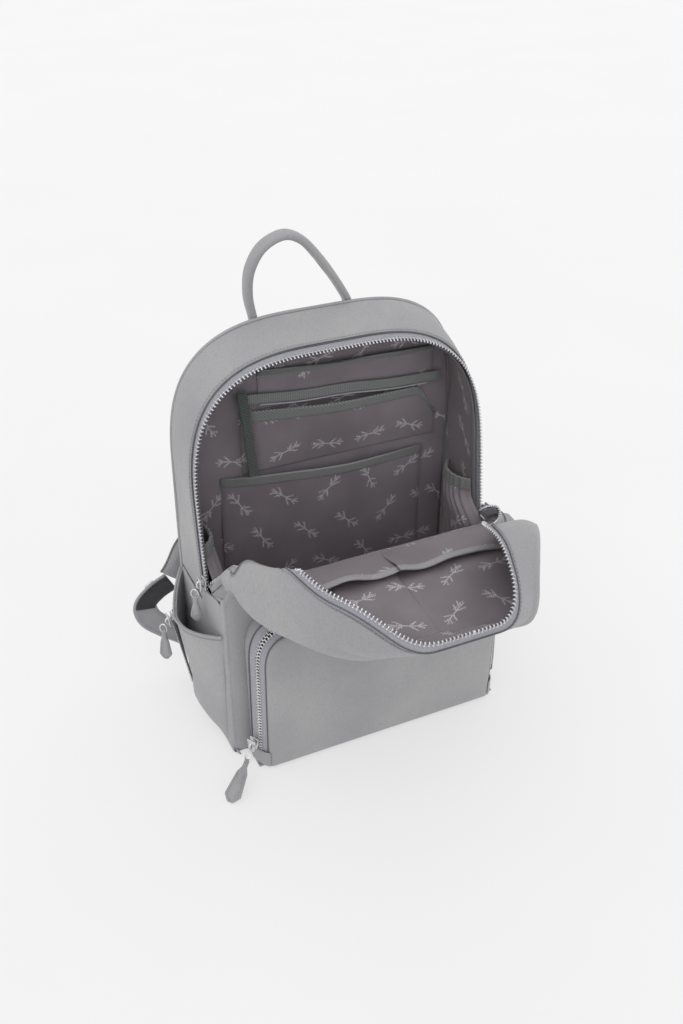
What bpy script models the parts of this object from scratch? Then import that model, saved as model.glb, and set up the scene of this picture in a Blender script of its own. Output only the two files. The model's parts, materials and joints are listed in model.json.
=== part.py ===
"""Diaper bag: a soft backpack with a clamshell flap, open, standing on its base.

Metres, +Z up, front towards -Y. Left (-X) and right (+X) are those of a viewer facing the front.
The origin is on the floor under the middle of the base.
"""

import math

import bmesh
import bpy
from mathutils import Matrix, Vector

# Driving dimensions
WIDTH = 0.303
ZIP_HEIGHT = 0.380
BACK_HEIGHT = 0.403
CORNER = 0.134
CORNER_POWER = 2.88
BACK_Y = 0.073
BACK_THICK = 0.008
ZIP_FOOT_Y = -0.042
ZIP_SLOPE = 0.154
SEAM_FOOT_Y = -0.067
SEAM_SLOPE = 0.060
LEATHER = 0.003
LINING = 0.001
GAP = 0.0004
SEAM_MARGIN = 0.003
ZIP_END_Z = 0.173
FRONT_TOP_Z = 0.200
FOLD_MARGIN = 0.004
TAPE_FRONT = 0.0042
TAPE_BACK = 0.0135
TAPE_INSET = 0.0008
TAPE_INNER = 0.0020
TEETH_WIDTH = 0.0038
TEETH_DEPTH = 0.0028
FEET = (GAP, 0.06, 0.12, ZIP_END_Z, ZIP_END_Z + 0.0006, 0.21)

# Linings and base
SIDE_LINING_FRONT = 0.006
SIDE_LINING_FOOT_Z = 0.05
BACK_LINING_FOOT_Z = 0.010
BACK_LINING_MARGIN = 0.002
BACK_MARGIN = 0.0005
BACK_LEG_Z = 0.15
FRONT_LINING_FOOT_Z = 0.012
BASE_THICK = 0.003
BOARD_TOP_Z = 0.007
BOARD_BACK_MARGIN = 0.004

# Flap: x across, s from the hinge to the tip, h from the outer skin towards the zipper
HINGE_Y = -0.0575
HINGE_Z = 0.205
FLAP_LENGTH = 0.184
FLAP_TILT = math.radians(-2)
FLAP_SKIN = 0.005
FLAP_WALL = 0.045
FLAP_FOOT_S = 0.026
FLAP_ZIP_INNER = 0.0024
FLAP_LINING_MARGIN = 0.005
FLAP_LINING_SCALE = 0.97
FLAP_LINING_START = 0.006
FLAP_SPREAD_S = 0.1
FLAP_ROOT_S = 0.003
FLAP_ROOT_MARGIN = 0.006
FOLD_LEFT = math.radians(40)
FOLD_RIGHT = math.radians(70)
CREASE_START = (0.145, 0.010)
CREASE_END = (0.035, 0.178)
CREASE_FIRST_SHARE = 0.10
CREASE_SHARE_SPAN = 0.86
LEAF_END_X = 0.044
TIP_HALF = 0.031
SLIP_POCKET_START = 0.014
SLIP_POCKET_SIZE = (0.16, 0.052)
SLIP_POCKET_BULGE = 0.008
POUCH_CLOTH = 0.0012
POUCH_FALL = 2.5

# Front pocket
POCKET_WIDTH = 0.268
POCKET_HEIGHT = 0.172
POCKET_CORNER = 0.050
POCKET_ZIP_Y = -0.0865
POCKET_ZIP_HALF = 0.004
POCKET_ZIP_DEPTH = 0.0028
POCKET_FACE_Y = -0.097
POCKET_FACE_EDGE = 0.002
POCKET_FACE_MARGIN = 0.004
POCKET_LINING_MARGIN = 0.006
LID_FOOT_Z = 0.004
POCKET_FEET = (LID_FOOT_Z, 0.05)

# Side pockets
SIDE_FRONT_Y = -0.056
SIDE_BACK_Y = 0.066
SIDE_MIDDLE_Y = (SIDE_FRONT_Y + SIDE_BACK_Y) / 2
SIDE_SPAN = SIDE_BACK_Y - SIDE_FRONT_Y
SIDE_FOOT_Z = 0.008
SIDE_HEIGHT = 0.128
SIDE_BULGE = 0.023
SIDE_CLOTH = 0.0025
SIDE_RIM_LOW = 0.86
SIDE_RIM_LOW_AT = 0.35
SIDE_RIM_POWER = 1.5
SIDE_ZIP_Y = 0.036
SIDE_ZIP_HALF = 0.005
SIDE_ZIP_OUT = 0.0032
SIDE_ZIP_THICK = 0.0016
SIDE_ZIP_SHARES = (0.12, 0.90)

# Sliders and pulls: half sizes, and the offset from a slider's centre to its pull's top
SIDE_SLIDER_HALF = (0.0045, 0.0045, 0.006)
SIDE_SLIDER_OUT = 0.0084
SIDE_PULL_OUT = 0.0052
SIDE_PULL_DROP = 0.004
SIDE_PULL_SIZE = (0.044, 0.0065)
SLIDER_HALF = (0.0040, 0.0050, 0.0065)
SLIDER_BEVEL = 0.0012
MAIN_SLIDER_OUT = 0.0045
MAIN_SLIDER_RISE = 0.008
MAIN_PULL_OUT = 0.0046
MAIN_PULL_DROP = 0.0045
MAIN_PULL_SIZE = (0.036, 0.0060)
FRONT_SLIDER_OUT = 0.0042
FRONT_SLIDER_Z = 0.030
FRONT_PULL_TOP = (-0.0050, -0.0068, -0.004)
FRONT_PULL_ALONG = (-0.656, -0.580, -0.482)
FRONT_PULL_OUTLINE = ((0.0020, 0.0), (0.0024, 0.014), (0.0055, 0.022), (0.0085, 0.044), (0.0025, 0.051))
PULL_NECK = ((0.0018, 0.0), (0.0022, 0.012))
PULL_SHOULDER = (0.62, 0.020)
PULL_POINT = (0.3, 0.88)
PULL_THICK = 0.0022
END_TAB_THICK = 0.0025
END_TAB_HALF = 0.006
END_TAB_CLEARANCE = 0.0005
END_TAB_Z = (0.016, 0.034)
END_TAB_BEVEL = 0.0006

# Inside pockets: x and z of each foot, width, height, bulge
SLEEVE = ((0.005, 0.020), 0.225, 0.215, 0.013)
MESH_POCKET = ((0.024, 0.242), 0.215, 0.062, 0.010)
TOP_POCKET = ((0.030, 0.310), 0.190, 0.040, 0.008)
ELASTIC_POCKET = ((0.006, 0.060), 0.088, 0.150, 0.016)
ELASTIC_STRAP_X = (-0.110, -0.096)
ELASTIC_STRAP_Z = (0.242, 0.335)
ELASTIC_STRAP_THICK = 0.002

# Handle and straps
HANDLE_X = -0.016
HANDLE_HALF = 0.048
HANDLE_LEAN = 0.014
HANDLE_RISE = 0.069
HANDLE_CLEARANCE = 0.0085
HANDLE_SHAPE = 0.8
HANDLE_INSET_Y = 0.012
HANDLE_WIDE = 0.009
HANDLE_THICK = 0.005
STRAP_POINTS = ((0.050, 0.0795, 0.368), (0.056, 0.083, 0.330), (0.066, 0.087, 0.285), (0.080, 0.090, 0.235),
                (0.100, 0.093, 0.185), (0.125, 0.096, 0.145), (0.152, 0.097, 0.112))
STRAP_WIDE = 0.026
STRAP_THICK = 0.005
STRAP_TWIST = 0.35
WEBBING_POINTS = ((0.1580, 0.0970, 0.1085), (0.174, 0.097, 0.100), (0.187, 0.096, 0.087), (0.184, 0.093, 0.071),
                  (0.170, 0.090, 0.057), (0.152, 0.0865, 0.044))
WEBBING_WIDE = 0.010
WEBBING_THICK = 0.0008
ADJUSTER_OUT = 0.0026
ADJUSTER_HALF = (0.003, 0.0012, 0.015)
ADJUSTER_BEVEL = 0.0008
ANCHOR_OUTLINE = ((0.150, 0.020), (0.150, 0.050), (0.118, 0.050), (0.105, 0.020))
ANCHOR_THICK = 0.0045

MATERIALS = {
    "leather": ((0.33, 0.32, 0.34), 0.55, 0.0),
    "lining": ((0.19, 0.16, 0.175), 0.6, 0.0),
    "metal": ((0.80, 0.80, 0.82), 0.25, 1.0),
    "tape": ((0.42, 0.42, 0.47), 0.8, 0.0),
    "mesh": ((0.10, 0.12, 0.11), 0.8, 0.0),
    "webbing": ((0.03, 0.03, 0.035), 0.8, 0.0),
    "board": ((0.30, 0.30, 0.30), 0.7, 0.0),
}


def clear_scene():
    for item in list(bpy.data.objects):
        bpy.data.objects.remove(item, do_unlink=True)


def material(kind):
    found = bpy.data.materials.get(kind)
    if found:
        return found
    colour, roughness, metallic = MATERIALS[kind]
    made = bpy.data.materials.new(kind)
    made.use_nodes = True
    shader = made.node_tree.nodes["Principled BSDF"]
    shader.inputs["Base Color"].default_value = (*colour, 1.0)
    shader.inputs["Roughness"].default_value = roughness
    shader.inputs["Metallic"].default_value = metallic
    return made


def finish(name, bm, kind):
    bmesh.ops.recalc_face_normals(bm, faces=bm.faces)
    mesh = bpy.data.meshes.new(name)
    bm.to_mesh(mesh)
    bm.free()
    mesh.materials.append(material(kind))
    item = bpy.data.objects.new(name, mesh)
    bpy.context.scene.collection.objects.link(item)
    return item


def sheet(name, outer, inner, kind):
    """A thick sheet between two equal grids of points, closed round its border."""
    rows, columns = len(outer), len(outer[0])
    bm = bmesh.new()
    front = [[bm.verts.new(p) for p in row] for row in outer]
    back = [[bm.verts.new(p) for p in row] for row in inner]
    for r in range(rows - 1):
        for c in range(columns - 1):
            bm.faces.new((front[r][c], front[r][c + 1], front[r + 1][c + 1], front[r + 1][c]))
            bm.faces.new((back[r][c], back[r + 1][c], back[r + 1][c + 1], back[r][c + 1]))
    for r in range(rows - 1):
        for c in (0, columns - 1):
            bm.faces.new((front[r][c], front[r + 1][c], back[r + 1][c], back[r][c]))
    for c in range(columns - 1):
        for r in (0, rows - 1):
            bm.faces.new((front[r][c], front[r][c + 1], back[r][c + 1], back[r][c]))
    return finish(name, bm, kind)


def loft(name, rings, kind):
    """A closed solid through equal rings of points, with flat ends."""
    bm = bmesh.new()
    loops = [[bm.verts.new(p) for p in ring] for ring in rings]
    count = len(rings[0])
    for one, two in zip(loops, loops[1:]):
        for k in range(count):
            bm.faces.new((one[k], one[(k + 1) % count], two[(k + 1) % count], two[k]))
    bm.faces.new(loops[0])
    bm.faces.new(loops[-1])
    return finish(name, bm, kind)


def block(name, low, high, kind, bevel=0.0):
    bm = bmesh.new()
    bmesh.ops.create_cube(bm, size=1.0)
    size = [b - a for a, b in zip(low, high)]
    centre = [(a + b) / 2 for a, b in zip(low, high)]
    bmesh.ops.scale(bm, vec=size, verts=bm.verts)
    bmesh.ops.translate(bm, vec=centre, verts=bm.verts)
    if bevel:
        bmesh.ops.bevel(bm, geom=bm.edges, offset=bevel, segments=2, affect="EDGES", profile=0.5)
    return finish(name, bm, kind)


def spread(start, end, count):
    return [start + (end - start) * k / (count - 1) for k in range(count)]


def corner_curve(radius, power, steps):
    """Offsets from a corner's centre, from its side round to its top."""
    offsets = []
    for angle in spread(0.0, math.pi / 2, steps)[1:]:
        across = abs(math.cos(angle)) ** (2 / power)
        up = abs(math.sin(angle)) ** (2 / power)
        offsets.append((radius * across, radius * up))
    return offsets


def arch(width, height, feet, corner=CORNER, steps=9):
    """Outline points (x, z), left foot to right foot, of an arch with soft corners."""
    half = width / 2
    left = [(-half, z) for z in feet if z < height - corner]
    left.append((-half, height - corner))
    for across, up in corner_curve(corner, CORNER_POWER, steps):
        left.append((-(half - corner) - across, height - corner + up))
    return left + [(-x, z) for x, z in reversed(left)]


def zip_y(z):
    return ZIP_FOOT_Y + ZIP_SLOPE * z


def seam_y(z):
    return SEAM_FOOT_Y + SEAM_SLOPE * z


def gusset_point(front, back, distance):
    """A point on the body's side, this far behind the zipper line."""
    run = back - front
    return front + run * (distance / run.length)


def gusset_lines(inset):
    """Matching points on the zipper line and on the back edge, inset into the bag."""
    width = WIDTH - 2 * inset
    corner = CORNER - inset
    fronts = arch(width, ZIP_HEIGHT - inset, FEET, corner)
    backs = arch(width, BACK_HEIGHT - inset, FEET, corner)
    edge = BACK_Y - BACK_THICK - GAP
    front = [Vector((x, zip_y(z), z)) for x, z in fronts]
    back = [Vector((x, edge, z)) for x, z in backs]
    return list(zip(front, back))


def gusset_rows(inset, reach_front, short_of_back=0.0, lowest=0.0):
    """Rows of a strip round the arch: below the zipper's ends it runs on to the lower front."""
    rows = []
    for front, back in gusset_lines(inset):
        if front.z < lowest:
            continue
        if front.z <= ZIP_END_Z:
            start = Vector((front.x, seam_y(front.z) + reach_front, front.z))
        else:
            start = gusset_point(front, back, TAPE_BACK + GAP + reach_front)
        end = gusset_point(front, back, (back - front).length - short_of_back)
        rows.append([start, end])
    return rows


def make_body():
    sheet("body_gusset", gusset_rows(0, 0), gusset_rows(LEATHER, 0), "leather")
    skin = LEATHER + GAP
    sheet("body_lining", gusset_rows(skin, SIDE_LINING_FRONT, SEAM_MARGIN, SIDE_LINING_FOOT_Z),
          gusset_rows(skin + LINING, SIDE_LINING_FRONT, SEAM_MARGIN, SIDE_LINING_FOOT_Z), "lining")
    outline = arch(WIDTH - 2 * BACK_MARGIN, BACK_HEIGHT, (GAP, BACK_LEG_Z))
    rings = [[(x, y, z) for x, z in outline] for y in (BACK_Y - BACK_THICK, BACK_Y)]
    loft("back_panel", rings, "leather")
    inner = arch(WIDTH - 2 * (skin + BACK_LINING_MARGIN), BACK_HEIGHT - skin - BACK_LINING_MARGIN,
                 (BACK_LINING_FOOT_Z, BACK_LEG_Z), CORNER - skin)
    near = BACK_Y - BACK_THICK - GAP
    loft("back_lining", [[(x, y, z) for x, z in inner] for y in (near - LINING, near)], "lining")


def make_base():
    half = WIDTH / 2 - LEATHER - GAP
    front, back = SEAM_FOOT_Y + LEATHER + GAP, BACK_Y - BACK_THICK - GAP
    block("base_panel", (-half, front, 0.0), (half, back, BASE_THICK), "leather")
    block("base_board", (-half + SEAM_MARGIN, front + SEAM_MARGIN, BASE_THICK + GAP),
          (half - SEAM_MARGIN, back - BOARD_BACK_MARGIN, BOARD_TOP_Z), "board")


def front_sheet(name, near, far, low, high, half, kind):
    def grid(depth):
        return [[(x, seam_y(z) + depth, z) for x in (-half, half)] for z in (low, high)]

    sheet(name, grid(near), grid(far), kind)


def make_lower_front():
    half = WIDTH / 2 - LEATHER - GAP
    front_sheet("lower_front_panel", 0.0, LEATHER, GAP, ZIP_END_Z, half, "leather")
    front_sheet("front_lining", LEATHER + GAP, LEATHER + GAP + LINING, FRONT_LINING_FOOT_Z, ZIP_END_Z,
                half - SEAM_MARGIN, "lining")
    edge = WIDTH / 2 - FOLD_MARGIN
    front_sheet("front_fold", 0.0, LEATHER, ZIP_END_Z + GAP, FRONT_TOP_Z, edge, "leather")


def make_body_zipper():
    def band(inset, near, far):
        rows = []
        for front, back in gusset_lines(inset):
            if front.z > ZIP_END_Z:
                rows.append([gusset_point(front, back, near), gusset_point(front, back, far)])
        return rows

    sheet("body_zip_tape", band(TAPE_INSET, TAPE_FRONT, TAPE_BACK), band(TAPE_INNER, TAPE_FRONT, TAPE_BACK),
          "tape")
    sheet("body_zip_teeth", band(0.0, GAP, TEETH_WIDTH), band(TEETH_DEPTH, GAP, TEETH_WIDTH), "metal")


# ---- Flap ----

ALONG = Vector((0.0, -math.cos(FLAP_TILT), math.sin(FLAP_TILT)))
INWARD = Vector((0.0, math.sin(FLAP_TILT), math.cos(FLAP_TILT)))
HINGE = Vector((0.0, HINGE_Y, HINGE_Z))


def flap_point(x, s, h):
    return HINGE + Vector((x, 0.0, 0.0)) + ALONG * s + INWARD * h


def crease(side, share, inset=0.0):
    (xa, sa), (xb, sb) = CREASE_START, CREASE_END
    return side * (xa + (xb - xa) * share - inset), sa + (sb - sa) * share


def folded(side, point):
    """A point of a side leaf, turned up about its crease into the resting fold."""
    start = flap_point(*crease(side, 0.0), FLAP_SKIN + 2 * LINING)
    end = flap_point(*crease(side, 1.0), FLAP_SKIN + 2 * LINING)
    angle = FOLD_RIGHT if side > 0 else -FOLD_LEFT
    turn = Matrix.Rotation(angle, 3, end - start)
    return start + turn @ (point - start)


def flap_outline(inset=0.0):
    return arch(WIDTH - 2 * inset, FLAP_LENGTH - inset, (FLAP_FOOT_S,), CORNER - inset, 14)


def leaf_part(points, side):
    part = [(x, s) for x, s in points if side * x >= LEAF_END_X]
    return part if side < 0 else list(reversed(part))


def leaf_grid(side, inset, height, crease_gap):
    rim = leaf_part(flap_outline(inset), side)
    grid = []
    for k, (x, s) in enumerate(rim):
        share = CREASE_FIRST_SHARE + CREASE_SHARE_SPAN * k / (len(rim) - 1)
        cx, cs = crease(side, share, -crease_gap)
        grid.append([folded(side, flap_point(cx, cs, height)), folded(side, flap_point(x, s, height))])
    return grid


def wall_grid(points, inset_points, low, high, place):
    outer = [[place(x, s, low), place(x, s, high)] for x, s in points]
    inner = [[place(x, s, low), place(x, s, high)] for x, s in inset_points]
    return outer, inner


def make_flap_centre():
    top = [(x, s) for x, s in flap_outline() if abs(x) < TIP_HALF]
    ends = [crease(-1, 1.0, GAP), crease(1, 1.0, GAP)]
    starts = [crease(1, 0.0, GAP), crease(-1, 0.0, GAP)]
    root_x = WIDTH / 2 - FLAP_ROOT_MARGIN
    root = [(root_x, FLAP_ROOT_S), (-root_x, FLAP_ROOT_S)]
    outline = [ends[0]] + top + [ends[1], starts[0]] + root + [starts[1]]
    rings = [[flap_point(x, s, h) for x, s in outline] for h in (0.0, FLAP_SKIN)]
    loft("flap_panel", rings, "leather")
    inner = []
    for x, s in outline:
        s = s * FLAP_LINING_SCALE if s > FLAP_SPREAD_S else s + FLAP_LINING_START
        inner.append((x * FLAP_LINING_SCALE, s))
    low = FLAP_SKIN + GAP
    loft("flap_lining", [[flap_point(x, s, h) for x, s in inner] for h in (low, low + LINING)], "lining")


def make_flap_tip():
    rim = [(x, s) for x, s in flap_outline() if abs(x) < TIP_HALF]
    leather_in = [(x, s - LEATHER) for x, s in rim]
    low, mid, high = FLAP_SKIN + GAP, FLAP_WALL - TAPE_BACK - GAP, FLAP_WALL - GAP
    outer, inner = wall_grid(rim, leather_in, low, mid, flap_point)
    sheet("flap_gusset_tip", outer, inner, "leather")
    zip_rim = [(x, s - TAPE_INSET) for x, s in rim]
    zip_in = [(x, s - FLAP_ZIP_INNER) for x, s in rim]
    outer, inner = wall_grid(zip_rim, zip_in, mid + GAP, high, flap_point)
    sheet("flap_zip_tip", outer, inner, "metal")


def make_flap_side(side, word):
    sheet(f"flap_side_{word}", leaf_grid(side, 0.0, 0.0, GAP), leaf_grid(side, 0.0, FLAP_SKIN, GAP), "leather")
    low = FLAP_SKIN + GAP
    sheet(f"flap_lining_{word}", leaf_grid(side, FLAP_LINING_MARGIN, low, LINING),
          leaf_grid(side, FLAP_LINING_MARGIN, low + LINING, LINING), "lining")

    def place(x, s, h):
        return folded(side, flap_point(x, s, h))

    rim = leaf_part(flap_outline(), side)[:-1]
    leather_in = leaf_part(flap_outline(LEATHER), side)[: len(rim)]
    mid, high = FLAP_WALL - TAPE_BACK - GAP, FLAP_WALL - GAP
    outer, inner = wall_grid(rim, leather_in, low, mid, place)
    sheet(f"flap_gusset_{word}", outer, inner, "leather")
    zip_rim = leaf_part(flap_outline(TAPE_INSET), side)[: len(rim)]
    zip_in = leaf_part(flap_outline(FLAP_ZIP_INNER), side)[: len(rim)]
    outer, inner = wall_grid(zip_rim, zip_in, mid + GAP, high, place)
    sheet(f"flap_zip_{word}", outer, inner, "metal")


def pouch(name, place, width, height, bulge, thick, kind, columns=9, rows=5, rim=None):
    """A slip pocket's front sheet: flat on its wall at the sides and foot, open at its rim."""

    def grid(extra):
        made = []
        for r in range(rows):
            share = r / (rows - 1)
            row = []
            for u in spread(-1.0, 1.0, columns):
                top = rim(u) if rim else 1.0
                offset = bulge * share * (1 - abs(u) ** POUCH_FALL)
                row.append(place(u * width / 2, share * top * height, offset + extra))
            made.append(row)
        return made

    return sheet(name, grid(thick), grid(0.0), kind)


def make_flap_pocket():
    def place(u, v, out):
        return flap_point(u, SLIP_POCKET_START + v, FLAP_SKIN + 2 * GAP + LINING + out)

    pouch("flap_slip_pocket", place, *SLIP_POCKET_SIZE, SLIP_POCKET_BULGE, POUCH_CLOTH, "lining")


# ---- Front pocket ----

def pocket_outline(inset=0.0):
    return arch(POCKET_WIDTH - 2 * inset, POCKET_HEIGHT - inset, POCKET_FEET, POCKET_CORNER - inset, 7)


def make_front_pocket():
    zip_back = POCKET_ZIP_Y + POCKET_ZIP_HALF
    zip_front = POCKET_ZIP_Y - POCKET_ZIP_HALF

    def gusset_grid(inset):
        return [[(x, zip_back + GAP, z), (x, seam_y(z) - GAP, z)] for x, z in pocket_outline(inset)]

    def zip_grid(inset):
        return [[(x, zip_front, z), (x, zip_back, z)] for x, z in pocket_outline(inset)]

    sheet("front_pocket_gusset", gusset_grid(0.0), gusset_grid(LEATHER), "leather")
    sheet("front_pocket_zip", zip_grid(GAP), zip_grid(POCKET_ZIP_DEPTH), "metal")
    outline = pocket_outline()
    lid_back = zip_front - GAP
    rings = [[(x, y, z) for x, z in outline] for y in (lid_back, POCKET_FACE_Y + POCKET_FACE_EDGE)]
    rings.append([(x, POCKET_FACE_Y, z) for x, z in pocket_outline(POCKET_FACE_MARGIN)])
    loft("front_pocket_lid", rings, "leather")
    near = lid_back + GAP
    block("front_pocket_floor", (-POCKET_WIDTH / 2, near, GAP),
          (POCKET_WIDTH / 2, seam_y(0) - 2 * GAP, GAP + LEATHER), "leather")
    inner = pocket_outline(POCKET_LINING_MARGIN)
    loft("front_pocket_lining", [[(x, y, z) for x, z in inner] for y in (near, near + LINING)], "lining")


# ---- Side pockets ----


def side_rim(u):
    """The rim's height as a share of the pocket's, from front (-1) to back (1)."""
    return SIDE_RIM_LOW + (1 - SIDE_RIM_LOW) * abs(u - SIDE_RIM_LOW_AT) ** SIDE_RIM_POWER


def side_place(side):
    def place(u, v, out):
        return side * (WIDTH / 2 + GAP + out), SIDE_MIDDLE_Y + u, SIDE_FOOT_Z + v

    return place


def make_side_pocket(side, word):
    place = side_place(side)
    pouch(f"side_pocket_{word}", place, SIDE_SPAN, SIDE_HEIGHT, SIDE_BULGE, SIDE_CLOTH, "leather",
          13, 6, side_rim)

    def zip_point(across, v, out):
        y = SIDE_ZIP_Y - SIDE_MIDDLE_Y + across
        share = y / (SIDE_SPAN / 2)
        reach = SIDE_BULGE * (1 - abs(share) ** POUCH_FALL)
        return place(y, v * side_rim(share) * SIDE_HEIGHT, reach * v + SIDE_ZIP_OUT + out)

    def grid(out):
        return [[zip_point(a, v, out) for a in (-SIDE_ZIP_HALF, 0.0, SIDE_ZIP_HALF)] for v in SIDE_ZIP_SHARES]

    sheet(f"side_zip_{word}", grid(SIDE_ZIP_THICK), grid(0.0), "metal")
    head = Vector(zip_point(0.0, SIDE_ZIP_SHARES[1], SIDE_SLIDER_OUT))
    make_slider(f"side_slider_{word}", head, SIDE_SLIDER_HALF)
    top = head + Vector((side * SIDE_PULL_OUT, 0, -SIDE_PULL_DROP))
    make_pull(f"side_pull_{word}", top, *SIDE_PULL_SIZE, side)


def make_slider(name, centre, half):
    low = [c - h for c, h in zip(centre, half)]
    high = [c + h for c, h in zip(centre, half)]
    block(name, low, high, "metal", SLIDER_BEVEL)


def make_pull(name, top, length, half_width, side):
    """Ring and leather tab in one hanging piece: a narrow neck that widens to a blunt point."""
    outline = [*PULL_NECK, (half_width * PULL_SHOULDER[0], PULL_SHOULDER[1]),
               (half_width, length * PULL_POINT[1]), (half_width * PULL_POINT[0], length)]
    profile = [(y, -z) for y, z in outline] + [(-y, -z) for y, z in reversed(outline)]
    rings = [[top + Vector((side * x, y, z)) for y, z in profile] for x in (0.0, PULL_THICK)]
    loft(name, rings, "leather")


def make_main_slider(side, word):
    z = ZIP_END_Z + MAIN_SLIDER_RISE
    centre = Vector((side * (WIDTH / 2 + MAIN_SLIDER_OUT), zip_y(z), z))
    make_slider(f"main_slider_{word}", centre, SLIDER_HALF)
    top = centre + Vector((side * MAIN_PULL_OUT, 0, -MAIN_PULL_DROP))
    make_pull(f"main_pull_{word}", top, *MAIN_PULL_SIZE, side)


def make_front_slider():
    centre = Vector((-POCKET_WIDTH / 2 - FRONT_SLIDER_OUT, POCKET_ZIP_Y, FRONT_SLIDER_Z))
    make_slider("front_slider", centre, SLIDER_HALF)
    top = centre + Vector(FRONT_PULL_TOP)
    along = Vector(FRONT_PULL_ALONG).normalized()
    across = along.cross(Vector((0, 0, 1))).normalized()
    normal = across.cross(along).normalized()
    profile = [*FRONT_PULL_OUTLINE, *((-w, d) for w, d in reversed(FRONT_PULL_OUTLINE))]
    rings = [[top + along * d + across * w + normal * t for w, d in profile] for t in (0.0, PULL_THICK)]
    loft("front_pull", rings, "leather")
    edge = POCKET_WIDTH / 2 + END_TAB_CLEARANCE
    block("front_zip_end_tab", (edge, POCKET_ZIP_Y - END_TAB_HALF, END_TAB_Z[0]),
          (edge + END_TAB_THICK, POCKET_ZIP_Y + END_TAB_HALF, END_TAB_Z[1]), "leather", END_TAB_BEVEL)


# ---- Inside ----


INSIDE_BACK_Y = BACK_Y - BACK_THICK - 3 * GAP - LINING


def make_back_pocket(name, foot, width, height, bulge, kind):
    def place(u, v, out):
        return foot[0] + u, INSIDE_BACK_Y - out, foot[1] + v

    pouch(name, place, width, height, bulge, POUCH_CLOTH, kind)


def make_elastic_pocket(side, word):
    foot, width, height, bulge = ELASTIC_POCKET
    inset = WIDTH / 2 - LEATHER - 3 * GAP - LINING

    def place(u, v, out):
        return side * (inset - out), foot[0] + u, foot[1] + v

    pouch(f"elastic_pocket_{word}", place, width, height, bulge, POUCH_CLOTH, "lining")


def make_inside():
    make_back_pocket("inner_sleeve", *SLEEVE, "lining")
    make_back_pocket("inner_mesh_pocket", *MESH_POCKET, "mesh")
    make_back_pocket("inner_top_pocket", *TOP_POCKET, "mesh")
    block("elastic_strap", (ELASTIC_STRAP_X[0], INSIDE_BACK_Y - ELASTIC_STRAP_THICK, ELASTIC_STRAP_Z[0]),
          (ELASTIC_STRAP_X[1], INSIDE_BACK_Y, ELASTIC_STRAP_Z[1]), "mesh")
    make_elastic_pocket(-1, "left")
    make_elastic_pocket(1, "right")


# ---- Handle and straps ----


def tube(name, path, half_wide, half_thick, wide_axis, kind, sides=8):
    """A padded strap: an oval ring carried along a path."""
    rings = []
    wide = Vector(wide_axis).normalized()
    for k, point in enumerate(path):
        ahead = path[min(k + 1, len(path) - 1)] - path[max(k - 1, 0)]
        ahead.normalize()
        across = (wide - ahead * wide.dot(ahead)).normalized()
        out = ahead.cross(across)
        ring = []
        for step in range(sides):
            angle = 2 * math.pi * (step + 0.5) / sides
            ring.append(point + across * (half_wide * math.cos(angle)) + out * (half_thick * math.sin(angle)))
        rings.append(ring)
    loft(name, rings, kind)


def band(name, path, half_wide, half_thick, facing, kind):
    """A flat strap of rectangular section, its broad side facing one way all along its path."""
    rings = []
    face = Vector(facing)
    for k, point in enumerate(path):
        ahead = (path[min(k + 1, len(path) - 1)] - path[max(k - 1, 0)]).normalized()
        across = ahead.cross(face).normalized() * half_wide
        out = across.cross(ahead).normalized() * half_thick
        rings.append([point + across + out, point - across + out, point - across - out, point + across - out])
    loft(name, rings, kind)


def make_handle():
    path = []
    foot = BACK_HEIGHT + HANDLE_CLEARANCE
    for angle in spread(0.0, math.pi, 15):
        rise = math.sin(angle) ** HANDLE_SHAPE
        x = HANDLE_X - HANDLE_HALF * math.cos(angle) - HANDLE_LEAN * rise
        path.append(Vector((x, BACK_Y - HANDLE_INSET_Y, foot + HANDLE_RISE * rise)))
    tube("top_handle", path, HANDLE_WIDE, HANDLE_THICK, (0, 1, 0), "leather")


def on_side(points, side):
    return [Vector((side * x, y, z)) for x, y, z in points]


def make_strap(side, word):
    tube(f"shoulder_strap_{word}", on_side(STRAP_POINTS, side), STRAP_WIDE, STRAP_THICK,
         (1, 0, STRAP_TWIST * side), "leather")
    web = on_side(WEBBING_POINTS, side)
    band(f"strap_webbing_{word}", web, WEBBING_WIDE, WEBBING_THICK, (0, 1, 0), "webbing")
    spot = web[1] + Vector((0, ADJUSTER_OUT, 0.0))
    half = Vector(ADJUSTER_HALF)
    block(f"strap_adjuster_{word}", spot - half, spot + half, "metal", ADJUSTER_BEVEL)
    rings = [[(side * x, y, z) for x, z in ANCHOR_OUTLINE] for y in (BACK_Y + GAP, BACK_Y + ANCHOR_THICK)]
    loft(f"strap_anchor_{word}", rings, "leather")


def make_all():
    clear_scene()
    make_body()
    make_base()
    make_lower_front()
    make_body_zipper()
    make_flap_centre()
    make_flap_tip()
    make_flap_pocket()
    make_front_pocket()
    make_front_slider()
    make_inside()
    make_handle()
    for side, word in ((-1, "left"), (1, "right")):
        make_flap_side(side, word)
        make_side_pocket(side, word)
        make_main_slider(side, word)
        make_strap(side, word)


make_all()
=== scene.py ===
"""Diaper bag, the looks: a grey leather backpack with its clamshell flap open. Metres, +Z up, -Y to the front."""
import json
import math

import bpy
import numpy as np
from mathutils import Matrix, Vector


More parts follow.
